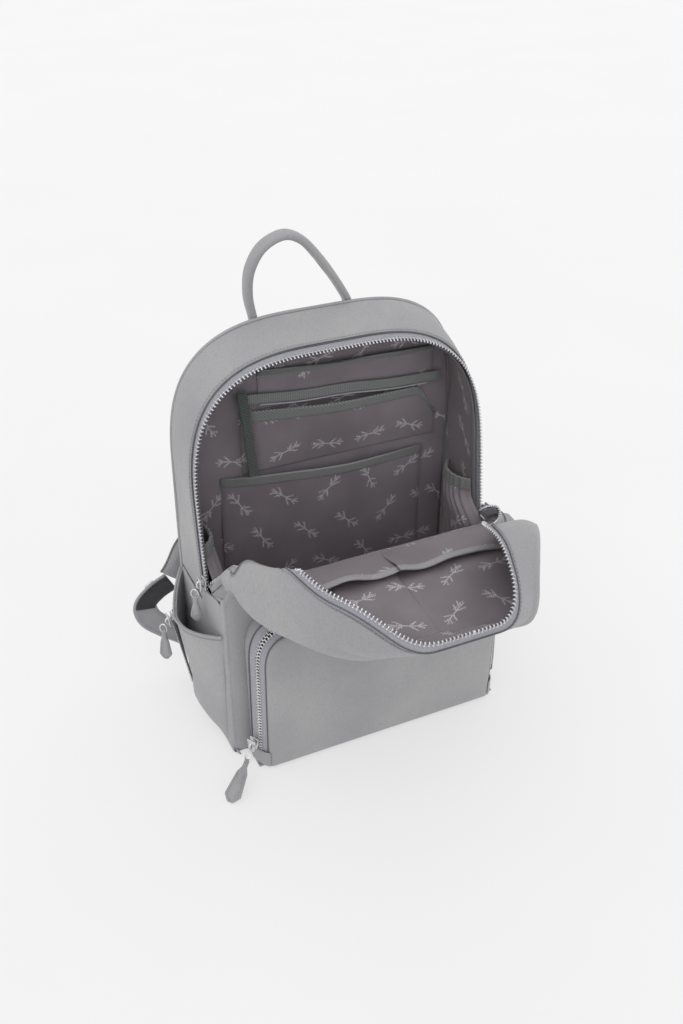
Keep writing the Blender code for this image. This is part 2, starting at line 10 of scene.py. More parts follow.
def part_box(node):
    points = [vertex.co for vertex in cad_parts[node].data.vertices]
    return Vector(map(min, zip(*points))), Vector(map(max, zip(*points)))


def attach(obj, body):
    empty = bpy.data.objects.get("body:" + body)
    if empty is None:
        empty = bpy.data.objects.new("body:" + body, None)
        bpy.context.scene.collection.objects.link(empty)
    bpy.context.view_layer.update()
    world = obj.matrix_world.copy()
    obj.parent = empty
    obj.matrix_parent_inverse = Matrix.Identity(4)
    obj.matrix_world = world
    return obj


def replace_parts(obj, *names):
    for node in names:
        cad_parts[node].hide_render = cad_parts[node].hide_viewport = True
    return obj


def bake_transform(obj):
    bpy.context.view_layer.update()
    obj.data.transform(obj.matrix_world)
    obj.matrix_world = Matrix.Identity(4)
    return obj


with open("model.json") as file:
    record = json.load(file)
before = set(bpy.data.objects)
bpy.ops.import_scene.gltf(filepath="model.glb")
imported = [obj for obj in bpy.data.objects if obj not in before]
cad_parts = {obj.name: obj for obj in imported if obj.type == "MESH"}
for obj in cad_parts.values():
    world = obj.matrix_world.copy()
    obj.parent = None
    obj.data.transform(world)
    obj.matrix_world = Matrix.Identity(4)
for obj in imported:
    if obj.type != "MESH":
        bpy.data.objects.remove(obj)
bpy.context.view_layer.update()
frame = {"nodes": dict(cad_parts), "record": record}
record = frame["record"]
joint_of = {joint["name"]: joint for joint in record["behaviour"]["joints"]}
SIDES = ((-1, "left"), (1, "right"))


def low(node):
    return np.array(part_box(node)[0])


def high(node):
    return np.array(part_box(node)[1])


# ---- Sizes: from the solids, with the shell's own curves ----

WIDTH = 2 * high("body_gusset")[0]
HALF = WIDTH / 2
BACK_HEIGHT = high("back_panel")[2]
BACK_Y = high("back_panel")[1]
WALL_Y = low("back_panel")[1]
ZIP_HEIGHT = 0.380
CORNER = 0.134
CORNER_POWER = 2.88
ZIP_END_Z = high("lower_front_panel")[2]
TEETH = 0.0042
TAPE = 0.0093
SKIN = 0.0016
SEAM_REACH = 0.0035
SEAM_DEPTH = 0.0014
HINGE = np.array(joint_of["flap_hinge"]["pos_m"])
FLAP_LENGTH = 0.184
FLAP_TILT = math.radians(-2)
FLAP_WALL = 0.045
FLAP_ROOT = 0.012
PITCH = 0.0036


def zip_y(z):
    return -0.042 + 0.154 * z


def seam_y(z):
    return -0.067 + 0.060 * z


# ---- Camera, floor and light ----

CAMERA_PLACE = Vector((-0.394, -0.816, 0.810))
CAMERA_AZIMUTH = math.radians(-25.524)
CAMERA_ELEVATION = math.radians(33.421)
CAMERA_ROLL = math.radians(0.754)


def make_camera():
    data = bpy.data.cameras.new("camera")
    data.sensor_width = 36.0
    data.lens = 38.59
    data.clip_start = 0.02
    camera = bpy.data.objects.new("camera", data)
    bpy.context.scene.collection.objects.link(camera)
    a, e, r = CAMERA_AZIMUTH, CAMERA_ELEVATION, CAMERA_ROLL
    back = Vector((math.sin(a) * math.cos(e), -math.cos(a) * math.cos(e), math.sin(e)))
    right = (-back).cross(Vector((0, 0, 1))).normalized()
    up = right.cross(-back)
    across = right * math.cos(r) + up * math.sin(r)
    upward = up * math.cos(r) - right * math.sin(r)
    turn = Matrix((across, upward, back)).transposed().to_4x4()
    camera.matrix_world = Matrix.Translation(CAMERA_PLACE) @ turn
    bpy.context.scene.camera = camera


def make_light(name, aim, strength, spread):
    data = bpy.data.lights.new(name, "SUN")
    data.energy = strength
    data.angle = math.radians(spread)
    lamp = bpy.data.objects.new(name, data)
    bpy.context.scene.collection.objects.link(lamp)
    lamp.rotation_euler = Vector(aim).to_track_quat("-Z", "Y").to_euler()


# ---- Node graphs ----


class Value:
    """A socket that takes part in plain arithmetic."""

    def __init__(self, graph, socket):
        self.graph = graph
        self.socket = socket

    def __add__(self, other):
        return self.graph.math("ADD", self, other)

    def __sub__(self, other):
        return self.graph.math("SUBTRACT", self, other)

    def __mul__(self, other):
        return self.graph.math("MULTIPLY", self, other)

    def __rmul__(self, other):
        return self * other


class Graph:
    """A material's node tree, built by calls."""

    def __init__(self, name):
        self.material = bpy.data.materials.new(name)
        self.material.use_nodes = True
        self.tree = self.material.node_tree
        self.shader = self.tree.nodes["Principled BSDF"]

    def node(self, kind, **settings):
        made = self.tree.nodes.new(kind)
        for key, value in settings.items():
            setattr(made, key, value)
        return made

    def feed(self, socket, value):
        if isinstance(value, Value):
            self.tree.links.new(value.socket, socket)
        elif value is not None:
            socket.default_value = value

    def math(self, operation, *values, clamp=False):
        made = self.node("ShaderNodeMath", operation=operation, use_clamp=clamp)
        for socket, value in zip(made.inputs, values):
            self.feed(socket, value)
        return Value(self, made.outputs[0])

    def cloth(self):
        """The piece's own cloth coordinates, in metres, which stay with it as it bends."""
        made = self.node("ShaderNodeAttribute", attribute_name="cloth")
        return Value(self, made.outputs["Vector"])

    def split(self, vector):
        made = self.node("ShaderNodeSeparateXYZ")
        self.feed(made.inputs[0], vector)
        return [Value(self, made.outputs[k]) for k in range(3)]

    def join(self, x, y, z=0.0):
        made = self.node("ShaderNodeCombineXYZ")
        for socket, value in zip(made.inputs, (x, y, z)):
            self.feed(socket, value)
        return Value(self, made.outputs[0])

    def noise(self, vector, scale, detail=2.0, roughness=0.5):
        made = self.node("ShaderNodeTexNoise")
        self.feed(made.inputs["Vector"], vector)
        made.inputs["Scale"].default_value = scale
        made.inputs["Detail"].default_value = detail
        made.inputs["Roughness"].default_value = roughness
        return Value(self, made.outputs[0])

    def cells(self, vector, scale, feature="F1"):
        made = self.node("ShaderNodeTexVoronoi", feature=feature)
        self.feed(made.inputs["Vector"], vector)
        made.inputs["Scale"].default_value = scale
        return Value(self, made.outputs["Distance"])

    def band(self, value, start, end, first=0.0, last=1.0):
        made = self.node("ShaderNodeMapRange", clamp=True, interpolation_type="SMOOTHSTEP")
        for socket, item in zip(made.inputs, (value, start, end, first, last)):
            self.feed(socket, item)
        return Value(self, made.outputs[0])

    def mix(self, share, first, second):
        made = self.node("ShaderNodeMix", data_type="RGBA")
        self.feed(made.inputs[0], share)
        for socket, value in zip((made.inputs[6], made.inputs[7]), (first, second)):
            self.feed(socket, (*value, 1.0) if isinstance(value, tuple) else value)
        return Value(self, made.outputs[2])

    def bump(self, height, distance, strength=1.0, under=None):
        made = self.node("ShaderNodeBump")
        made.inputs["Strength"].default_value = strength
        made.inputs["Distance"].default_value = distance
        self.feed(made.inputs["Height"], height)
        if under is not None:
            self.feed(made.inputs["Normal"], under)
        return Value(self, made.outputs[0])

    def set(self, **inputs):
        for key, value in inputs.items():
            socket = self.shader.inputs[key.replace("_", " ")]
            self.feed(socket, (*value, 1.0) if isinstance(value, tuple) else value)
        return self.material


def leather_material(name, colour, shade, warm, grain=720.0):
    """Pebbled coated leather: small cells, finer pores, soft cloudy colour and rubbed patches."""
    g = Graph(name)
    place = g.cloth()
    cloud = g.noise(place, 9.0, 3.0)
    rubbed = g.band(g.noise(place, 26.0, 5.0, 0.65), 0.58, 0.74)
    base = g.mix(g.band(cloud, 0.35, 0.68), shade, colour)
    base = g.mix(rubbed * 0.35, base, warm)
    pebble = g.cells(place, grain, "SMOOTH_F1")
    pores = g.noise(place, grain * 3.1, 2.0)
    base = g.mix(g.band(pebble, 0.30, 0.75) * 0.22, base, tuple(0.55 * c for c in colour))
    creases = g.noise(place, 120.0, 4.0, 0.6)
    first = g.bump(creases, 0.0010, 0.35)
    second = g.bump(pebble, 0.00045, 0.55, first)
    normal = g.bump(pores, 0.00015, 0.4, second)
    rough = g.band(creases, 0.3, 0.7, 0.46, 0.60)
    return g.set(Base_Color=base, Roughness=rough, Normal=normal, Sheen_Weight=0.10, Sheen_Roughness=0.5,
                 Coat_Weight=0.04, Coat_Roughness=0.35)


def segment(g, x, y, start, end):
    """Distance from (x, y) to a straight stroke."""
    dx, dy = end[0] - start[0], end[1] - start[1]
    across, up = x - start[0], y - start[1]
    share = g.math("MULTIPLY", across * dx + up * dy, 1 / (dx * dx + dy * dy), clamp=True)
    left_x, left_y = across - share * dx, up - share * dy
    return g.math("SQRT", left_x * left_x + left_y * left_y)


SPRIG_STROKES = (((-0.32, 0.0), (0.32, 0.0)), ((-0.20, 0.0), (-0.30, 0.07)), ((-0.04, 0.0), (-0.17, 0.12)),
                 ((0.08, 0.0), (0.22, 0.11)), ((0.20, 0.0), (0.34, 0.06)))


def lining_material():
    """Fine woven polyester printed with small pale twigs, each turned its own way."""
    g = Graph("lining_print")
    u, v, _ = g.split(g.cloth())
    cell = 0.047
    row = g.math("FLOOR", v * (1 / cell))
    u_cells = u * (1 / cell) + g.math("MODULO", g.math("ABSOLUTE", row), 2.0) * 0.5
    column = g.math("FLOOR", u_cells)
    chance = g.node("ShaderNodeTexWhiteNoise", noise_dimensions="3D")
    g.feed(chance.inputs["Vector"], g.join(column, row))
    turn = (Value(g, chance.outputs["Value"]) - 0.5) * 2.2 + g.math("MODULO", g.math("ABSOLUTE", column), 2.0) * math.pi
    x = u_cells - column - 0.5
    y = v * (1 / cell) - row - 0.5
    cos, sin = g.math("COSINE", turn), g.math("SINE", turn)
    along = x * cos + y * sin
    across = y * cos - x * sin
    bent = across + g.math("SINE", along * 7.0) * 0.035
    mirrored = g.math("ABSOLUTE", bent)
    nearest = None
    for start, end in SPRIG_STROKES:
        gap = segment(g, along, mirrored, start, end)
        nearest = gap if nearest is None else g.math("MINIMUM", nearest, gap)
    place = g.join(u, v)
    sketch = g.band(g.noise(place, 1300.0, 2.0), 0.42, 0.60)
    stroke = g.band(nearest, 0.008, 0.025, 1.0, 0.0)
    buds = g.band(g.cells(g.join(along * 17.0, bent * 17.0), 1.0), 0.10, 0.26, 1.0, 0.0)
    crown = g.band(nearest, 0.03, 0.070, 1.0, 0.0)
    ink = g.math("MAXIMUM", stroke * sketch, buds * crown * 0.8)
    base = g.mix(g.band(g.noise(place, 14.0, 3.0), 0.35, 0.7), (0.195, 0.168, 0.186), (0.240, 0.211, 0.231))
    thread = g.math("SINE", u * 5200.0) * g.math("SINE", v * 5200.0)
    base = g.mix(g.band(thread, -1.0, 1.0, 0.0, 0.16), base, (0.13, 0.112, 0.128))
    base = g.mix(ink * 0.90, base, (0.78, 0.75, 0.76))
    folds = g.bump(g.noise(place, 45.0, 3.0), 0.0016, 0.30)
    normal = g.bump(thread, 0.00012, 0.5, folds)
    return g.set(Base_Color=base, Roughness=0.52, Normal=normal, Sheen_Weight=0.25, Sheen_Roughness=0.4)


def woven_material(name, colour, dark, pitch, ribs=False, rough=0.75):
    """Tape, binding, elastic or webbing: rows of thread, or plain ribs across the strip."""
    g = Graph(name)
    place = g.cloth()
    u, v, _ = g.split(place)
    rate = math.tau / pitch
    warp = g.math("SINE", u * rate)
    weft = g.math("SINE", (v + u * (0.0 if ribs else 0.9)) * rate)
    height = warp * (1.0 if ribs else 0.55) + weft * (0.25 if ribs else 0.75)
    base = g.mix(g.band(height, -1.1, 0.6), dark, colour)
    base = g.mix(g.band(g.noise(place, 160.0, 3.0), 0.35, 0.75) * 0.25, base, tuple(0.8 * c for c in colour))
    normal = g.bump(height, pitch * 0.30, 0.7)
    return g.set(Base_Color=base, Roughness=rough, Normal=normal, Sheen_Weight=0.2)


def mesh_material():
    """Open knitted mesh over dark cloth: rows of small round holes."""
    g = Graph("pocket_mesh")
    u, v, _ = g.split(g.cloth())
    pitch = 0.0019
    row = g.math("FLOOR", v * (1 / pitch))
    shift = g.math("MODULO", g.math("ABSOLUTE", row), 2.0) * 0.5
    x = g.math("FRACT", u * (1 / pitch) + shift) - 0.5
    y = g.math("FRACT", v * (1 / pitch)) - 0.5
    hole = g.band(g.math("SQRT", x * x + y * y), 0.24, 0.36)
    base = g.mix(hole, (0.075, 0.080, 0.077), (0.205, 0.222, 0.212))
    normal = g.bump(hole, 0.0003, 0.8)
    return g.set(Base_Color=base, Roughness=0.7, Normal=normal, Sheen_Weight=0.2)


def metal_material():
    """Bright nickel with faint brushing and handling marks."""
    g = Graph("nickel")
    place = g.cloth()
    smears = g.noise(place, 240.0, 4.0, 0.6)
    rough = g.band(smears, 0.3, 0.75, 0.20, 0.36)
    base = g.mix(g.band(g.noise(place, 90.0, 2.0), 0.4, 0.8), (0.66, 0.66, 0.67), (0.50, 0.50, 0.52))
    return g.set(Base_Color=base, Roughness=rough, Metallic=1.0, Normal=g.bump(smears, 0.0001, 0.2))


def board_material():
    g = Graph("board_fibre")
    coords = g.node("ShaderNodeTexCoord")
    fleck = g.noise(Value(g, coords.outputs["Object"]), 400.0, 3.0)
    base = g.mix(g.band(fleck, 0.35, 0.7), (0.20, 0.19, 0.18), (0.33, 0.31, 0.29))
    return g.set(Base_Color=base, Roughness=0.8, Normal=g.bump(fleck, 0.0003, 0.4))


def thread_material():
    g = Graph("thread")
    twist = g.noise(g.cloth(), 2600.0, 1.0)
    base = g.mix(g.band(twist, 0.35, 0.65), (0.23, 0.225, 0.235), (0.36, 0.355, 0.365))
    return g.set(Base_Color=base, Roughness=0.6, Normal=g.bump(twist, 0.0001, 0.5), Sheen_Weight=0.2)


FLOOR_GLOW = 0.565


def floor_material():
    g = Graph("floor")
    coords = g.node("ShaderNodeTexCoord")
    grain = g.noise(Value(g, coords.outputs["Object"]), 3.0, 2.0)
    base = g.mix(g.band(grain, 0.3, 0.7), (0.295, 0.295, 0.295), (0.305, 0.305, 0.305))
    return g.set(Base_Color=base, Roughness=0.9, Emission_Color=(1.0, 1.0, 1.0), Emission_Strength=FLOOR_GLOW)


LEATHER = leather_material("grey_leather", (0.355, 0.347, 0.354), (0.300, 0.294, 0.308), (0.40, 0.391, 0.384))
EDGE = leather_material("leather_edge", (0.115, 0.110, 0.120), (0.085, 0.082, 0.090), (0.17, 0.165, 0.17), 900.0)
PRINT = lining_material()
TAPE_CLOTH = woven_material("zip_tape_twill", (0.44, 0.44, 0.485), (0.28, 0.28, 0.32), 0.0011)
BINDING = woven_material("binding_rib", (0.225, 0.232, 0.228), (0.11, 0.115, 0.112), 0.0012, ribs=True)
ELASTIC = woven_material("elastic_rib", (0.090, 0.110, 0.100), (0.030, 0.038, 0.034), 0.0016, ribs=True)
WEBBING = woven_material("webbing_weave", (0.035, 0.035, 0.040), (0.010, 0.010, 0.012), 0.0016)
MESH = mesh_material()
METAL = metal_material()
THREAD = thread_material()
BOARD = board_material()

# ---- Mesh helpers ----


def unit(vectors):
    vectors = np.asarray(vectors, float)
    return vectors / np.maximum(np.linalg.norm(vectors, axis=-1, keepdims=True), 1e-12)


def smooth(values, start=0.0, end=1.0):
    share = np.clip((np.asarray(values, float) - start) / (end - start), 0.0, 1.0)
    return share * share * (3 - 2 * share)


def grid_normals(grid):
    """Unit normals of a grid of points: row direction crossed with column direction."""
    down = np.gradient(grid, axis=0)
    across = np.gradient(grid, axis=1)
    return unit(np.cross(down, across))


def lengths(points):
    steps = np.linalg.norm(np.diff(points, axis=0), axis=-1)
    return np.concatenate([[0.0], np.cumsum(steps)])


def resample(points, where, by=None):
    """Points of a polyline at the given distances along it, or along by's length."""
    along = lengths(points if by is None else by)
    return np.stack([np.interp(where, along, points[:, k]) for k in range(points.shape[1])], axis=-1)


def edged(length, count, edge=SEAM_REACH):
    """Shares from 0 to 1, even in the middle and closer together at both ends."""
    fine = np.array([0.0, 0.12, 0.35, 0.65]) * edge / length
    middle = np.linspace(edge / length, 1 - edge / length, count)
    return np.concatenate([fine, middle, 1 - fine[::-1]])


def ripple(points, size, wave, seed):
    """Soft irregular waves over space, at most about size high."""
    chance = np.random.default_rng(seed)
    total = np.zeros(points.shape[:-1])
    for _ in range(7):
        direction = unit(chance.normal(size=3)) * math.tau / (wave * chance.uniform(0.6, 1.6))
        total += np.sin(points @ direction + chance.uniform(0, math.tau))
    return size * total / 4.5


def facing_out(points, faces):
    """The faces of a closed piece, all turned over if they face in."""
    corners = np.array([(face[0], b, c) for face in faces for b, c in zip(face[1:-1], face[2:])])
    a, b, c = np.moveaxis(np.asarray(points, float)[corners], 1, 0)
    volume = np.sum(a * np.cross(b, c))
    return faces if volume > 0 else [face[::-1] for face in faces]


def build(name, points, faces, material, body, cloth=None, flat=False):
    faces = facing_out(points, faces)
    mesh = bpy.data.meshes.new(name)
    mesh.from_pydata([tuple(map(float, p)) for p in points], [], faces)
    attribute = mesh.attributes.new("cloth", "FLOAT_VECTOR", "POINT")
    values = np.asarray(points if cloth is None else cloth, np.float32)
    attribute.data.foreach_set("vector", values.ravel())
    mesh.materials.append(material)
    if not flat:
        mesh.shade_smooth()
    piece = bpy.data.objects.new(name, mesh)
    bpy.context.scene.collection.objects.link(piece)
    if body:
        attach(piece, body)
    return piece


def sunk(grid, sides, normals):
    """The grid with its named borders drawn down into their seams: sides gives each one's depth and reach."""
    rows = np.stack([lengths(grid[:, c]) for c in range(grid.shape[1])], axis=1)
    columns = np.stack([lengths(row) for row in grid])
    gaps = {"top": rows, "bottom": rows[-1:] - rows, "left": columns, "right": columns[:, -1:] - columns}
    drop = np.zeros(grid.shape[:2])
    for side, (depth, reach) in sides.items():
        drop = np.maximum(drop, depth * np.clip(1 - gaps[side] / reach, 0, 1) ** 2)
    return grid - normals * drop[..., None]


def sheet_mesh(name, grid, thick, material, body, cloth=None, sides=None):
    """A closed sheet: the grid is its outer face, its border is rounded, its named sides sink into seams."""
    normals = grid_normals(grid)
    if sides:
        grid = sunk(grid, sides, normals)
    rows, columns = grid.shape[:2]
    count = rows * columns
    back = grid - normals * thick
    border = ([(0, c) for c in range(columns)] + [(r, columns - 1) for r in range(1, rows)]
              + [(rows - 1, c) for c in range(columns - 2, -1, -1)] + [(r, 0) for r in range(rows - 2, 0, -1)])
    inner = [(min(max(r, 1), rows - 2), min(max(c, 1), columns - 2)) for r, c in border]
    out = unit([grid[a] - grid[b] for a, b in zip(border, inner)])
    rim = np.array([(grid[a] + back[a]) / 2 for a in border]) + out * thick * 0.45
    points = np.concatenate([grid.reshape(-1, 3), back.reshape(-1, 3), rim])
    faces = []
    for r in range(rows - 1):
        for c in range(columns - 1):
            a, b, d, e = r * columns + c, r * columns + c + 1, (r + 1) * columns + c + 1, (r + 1) * columns + c
            faces.append((a, e, d, b))
            faces.append((count + a, count + b, count + d, count + e))
    total = len(border)
    for k in range(total):
        n = (k + 1) % total
        a, b = border[k][0] * columns + border[k][1], border[n][0] * columns + border[n][1]
        faces.append((a, b, 2 * count + n, 2 * count + k))
        faces.append((2 * count + k, 2 * count + n, count + b, count + a))
    if cloth is not None:
        flat_cloth = cloth.reshape(-1, cloth.shape[-1])
        edge_cloth = np.array([cloth[a] for a in border])
        cloth = np.concatenate([flat_cloth, flat_cloth, edge_cloth])
    return build(name, points, faces, material, body, cloth)


def strip_cloth(grid, scale=1.0):
    """Cloth coordinates along and across a strip, in metres."""
    along = np.stack([lengths(grid[:, c]) for c in range(grid.shape[1])], axis=1)
    across = np.stack([lengths(row) for row in grid])
    return np.stack([along * scale, across, np.zeros_like(along)], axis=-1)


def frames_along(path, up):
    """Tangent, side and up directions at each point of a path."""
    tangent = unit(np.gradient(path, axis=0))
    side = unit(np.cross(tangent, up))
    return tangent, side, unit(np.cross(side, tangent))


def tube_mesh(name, path, up, half_wide, half_high, material, body, sides=16, power=1.0):
    """A solid bar along a path, with rounded ends. Widths may change along it."""
    count = len(path)
    wide = np.broadcast_to(half_wide, count)
    tall = np.broadcast_to(half_high, count)
    _, side, top = frames_along(path, up)
    angle = np.linspace(0, math.tau, sides, endpoint=False)
    x = np.sign(np.cos(angle)) * np.abs(np.cos(angle)) ** power
    y = np.sign(np.sin(angle)) * np.abs(np.sin(angle)) ** power
    rings = [path[k] + np.outer(x, side[k]) * wide[k] + np.outer(y, top[k]) * tall[k] for k in range(count)]
    tangent = unit(np.gradient(path, axis=0))
    cap = min(float(wide[0]), float(tall[0])) * 0.5
    first = path[0] + (rings[0] - path[0]) * 0.6 - tangent[0] * cap
    last = path[-1] + (rings[-1] - path[-1]) * 0.6 + tangent[-1] * cap
    rings = [first] + rings + [last]
    points = np.concatenate(rings)
    total = len(rings)
    faces = []
    for r in range(total - 1):
        for s in range(sides):
            n = (s + 1) % sides
            faces.append((r * sides + s, r * sides + n, (r + 1) * sides + n, (r + 1) * sides + s))
    faces.append(tuple(range(sides))[::-1])
    faces.append(tuple((total - 1) * sides + s for s in range(sides)))
    along = lengths(np.array([ring.mean(axis=0) for ring in rings]))
    girth = np.concatenate([np.linspace(0, 1, sides // 2, endpoint=False), np.linspace(1, 0, sides - sides // 2, endpoint=False)])
    reach = 2.2 * max(float(wide.max()), float(tall.max()))
    cloth = np.array([(a, g * reach, 0.0) for a in along for g in girth])
    return build(name, points, faces, material, body, cloth)


def copies(name, template, faces, places, axes, material, body, flat=False):
    """Many copies of a small solid in one piece: axes holds each one's own x, y and z directions."""
    template = np.asarray(template, float)
    points = np.einsum("vk,nkc->nvc", template, axes) + places[:, None, :]
    size = len(template)
    made = [tuple(i + n * size for i in face) for n in range(len(places)) for face in faces]
    cloth = np.tile(template, (len(places), 1)) + np.repeat(places, size, axis=0)
    return build(name, points.reshape(-1, 3), made, material, body, cloth, flat)


def chamfered_box(half, chamfer):
    """A box with every edge chamfered, as 24 points and their faces."""
    points, index = [], {}
    for sx in (-1, 1):
        for sy in (-1, 1):
            for sz in (-1, 1):
                signs = np.array((sx, sy, sz), float)
                for axis in range(3):
                    corner = signs * (np.array(half) - chamfer)
                    corner[axis] = signs[axis] * half[axis]
                    index[(sx, sy, sz, axis)] = len(points)
                    points.append(corner)
    faces = []
    for axis in range(3):
        b, c = (axis + 1) % 3, (axis + 2) % 3

        def corner_of(which, values):
            signs = [values.get(k, 0) for k in range(3)]
            return index[(*signs, which)]

        for s in (-1, 1):
            faces.append([corner_of(axis, {axis: s, b: p, c: q}) for p, q in ((-1, -1), (1, -1), (1, 1), (-1, 1))])
        for p in (-1, 1):
            for q in (-1, 1):
                ends = [{axis: s, b: p, c: q} for s in (-1, 1)]
                faces.append([corner_of(b, ends[0]), corner_of(b, ends[1]), corner_of(c, ends[1]), corner_of(c, ends[0])])
    for signs in {key[:3] for key in index}:
        faces.append([index[(*signs, axis)] for axis in range(3)])
    return np.array(points), outward(points, faces)


def stitches(name, runs, body, pitch=0.0036, length=0.0026, radius=0.00033, material=None):
    """Lines of thread: each run is a line of points on a surface with its normals."""
    rings, sides = (-0.5, -0.28, 0.28, 0.5), 6
    swell = (0.25, 1.0, 1.0, 0.25)
    sink = (-0.6, 0.7, 0.7, -0.6)
    template, faces = [], []
    for share, fat, lift in zip(rings, swell, sink):
        for k in range(sides):
            angle = math.tau * k / sides
            template.append((share * length, math.cos(angle) * radius * fat, (math.sin(angle) * fat + lift) * radius))
    for r in range(len(rings) - 1):
        for k in range(sides):
            n = (k + 1) % sides
            faces.append((r * sides + k, r * sides + n, (r + 1) * sides + n, (r + 1) * sides + k))
    faces.append(tuple(range(sides))[::-1])
    faces.append(tuple((len(rings) - 1) * sides + k for k in range(sides)))
    places, axes = [], []
    for line, normals in runs:
        where = np.arange(pitch / 2, lengths(line)[-1], pitch)
        if len(where) == 0:
            continue
        spots = resample(line, where)
        tangent = unit(resample(np.gradient(line, axis=0), where, line))
        up = unit(resample(normals, where, line))
        side = unit(np.cross(up, tangent))
        places.append(spots)
        axes.append(np.stack([tangent, side, np.cross(tangent, side)], axis=1))
    return copies(name, template, faces, np.concatenate(places), np.concatenate(axes), material or THREAD, body)


def hermite(start, end, leave, arrive, shares):
    """Curves from start to end points with the given end tangents: shape (shares, points, 3)."""
    t = np.asarray(shares)[:, None, None]
    a, b = 2 * t**3 - 3 * t**2 + 1, t**3 - 2 * t**2 + t
    c, d = -2 * t**3 + 3 * t**2, t**3 - t**2
    return a * start[None] + b * leave[None] + c * end[None] + d * arrive[None]


def outward(points, faces):
    """Faces of a convex solid, turned to face out."""
    points = np.asarray(points, float)
    middle = points.mean(axis=0)
    turned = []
    for face in faces:
        a, b, c = points[face[0]], points[face[1]], points[face[2]]
        facing = np.dot(np.cross(b - a, c - a), points[list(face)].mean(axis=0) - middle)
        turned.append(tuple(face) if facing > 0 else tuple(face)[::-1])
    return turned


def teeth(name, line, toward, body, pitch=PITCH, depth=TEETH, start=0.0):
    """A row of zipper teeth whose tips lie on a line: toward points from the tips to the tape."""
    where = np.arange(start + pitch / 2, lengths(line)[-1], pitch)
    places = resample(line, where)
    tangent = unit(resample(np.gradient(line, axis=0), where, line))
    back = resample(toward, where, line)
    back = unit(back - tangent * np.sum(back * tangent, axis=-1, keepdims=True))
    axes = np.stack([tangent, back, np.cross(tangent, back)], axis=1)
    head, head_faces = chamfered_box((0.00074, depth * 0.36, 0.00135), 0.00030)
    clasp, clasp_faces = chamfered_box((0.00100, depth * 0.15, 0.00105), 0.00028)
    template = np.concatenate([head + (0, depth * 0.36, 0), clasp + (0, depth * 0.86, 0)])
    faces = head_faces + [tuple(i + len(head) for i in face) for face in clasp_faces]
    return copies(name, template, faces, places, axes, METAL, body)


def mirror(grid):
    """The right-hand twin of a left-hand grid, still facing the same way."""
    return grid[:, ::-1] * (-1.0, 1.0, 1.0)


def sided(grid, side):
    return grid if side < 0 else mirror(grid)


# ---- The arch of the body ----


def arch(width, height, corner, legs, turns):
    """Outline (x, z) from left foot to right foot: legs are heights, turns are corner angles."""
    half = width / 2 - corner
    left = [(-half - corner, z) for z in legs]
    for angle in turns:
        across = corner * max(math.cos(angle), 0.0) ** (2 / CORNER_POWER)
        left.append((-half - across, height - corner + corner * math.sin(angle) ** (2 / CORNER_POWER)))
    left = np.array(left)
    return np.concatenate([left, left[::-1] * (-1.0, 1.0)])


LEG_PARTS = np.linspace(0.0, 1.0, 50)
CORNER_PARTS = np.linspace(0.0, math.pi / 2, 120)[1:]
SHARED_LEG = 0.21


def shell_lines(inset=0.0, foot=0.0):
    """The zipper line and the back edge, point for point, inset into the bag."""
    corner = CORNER - inset
    top_front, top_back = ZIP_HEIGHT - inset - corner, BACK_HEIGHT - inset - corner
    legs = foot + (top_front - foot) * LEG_PARTS
    stretch = (top_back - SHARED_LEG) / (top_front - SHARED_LEG)
    back_legs = np.where(legs < SHARED_LEG, legs, SHARED_LEG + (legs - SHARED_LEG) * stretch)
    front = arch(WIDTH - 2 * inset, ZIP_HEIGHT - inset, corner, legs, CORNER_PARTS)
    back = arch(WIDTH - 2 * inset, BACK_HEIGHT - inset, corner, back_legs, CORNER_PARTS)
    fronts = np.stack([front[:, 0], zip_y(front[:, 1]), front[:, 1]], axis=-1)
    backs = np.stack([back[:, 0], np.full(len(back), WALL_Y), back[:, 1]], axis=-1)
    return fronts, backs


def shell_rows(inset, foot, count, start=None):
    """Evenly spaced matching points on both lines, from foot (or from start up) over the arch."""
    fronts, backs = shell_lines(inset, foot)
    total = lengths(fronts)[-1]
    skip = 0.0 if start is None else (start - foot) * math.hypot(1.0, 0.154)
    where = np.linspace(skip, total - skip, count)
    return resample(fronts, where), resample(backs, where, fronts)


def shell_strip(rows, near, far, shares):
    """A grid over the side from near to far behind the zipper line; far counts from the back if negative."""
    fronts, backs = rows
    run = backs - fronts
    length = np.linalg.norm(run, axis=-1, keepdims=True)
    end = length + far if far <= 0 else np.full_like(length, far)
    distances = near + (end - near) * np.asarray(shares)[None, :]
    return fronts[:, None, :] + (run / length)[:, None, :] * distances[..., None]


def puffed(grid, height, wave=0.0, wave_size=0.07, seed=1, power=0.6):
    """The grid crowned outward between its borders, with soft uneven waves."""
    rows, columns = grid.shape[:2]
    across = np.sin(np.pi * np.linspace(0, 1, columns)) ** power
    down = np.sin(np.pi * np.clip(np.linspace(0, 1, rows), 0.0, 1.0)) ** 0.3
    rise = (height + ripple(grid, wave, wave_size, seed)) * across[None, :] * down[:, None]
    return grid + grid_normals(grid) * rise[..., None]


def inner_run(grid, column):
    """A line of points of a grid, with its normals, for stitching."""
    normals = grid_normals(grid)
    return grid[:, column] + normals[:, column] * 0.0002, normals[:, column]


def near_edge_line(grid, side, distance):
    """A line parallel to a border of the grid, this far in, with its normals."""
    normals = grid_normals(grid)
    if side in ("left", "right"):
        lines, facing = grid, normals
    else:
        lines, facing = grid.transpose(1, 0, 2), normals.transpose(1, 0, 2)
    if side in ("right", "bottom"):
        lines, facing = lines[:, ::-1], facing[:, ::-1]
    points = np.array([resample(line, [distance])[0] for line in lines])
    ups = np.array([resample(up, [distance], line)[0] for up, line in zip(facing, lines)])
    return points + unit(ups) * 0.0002, unit(ups)


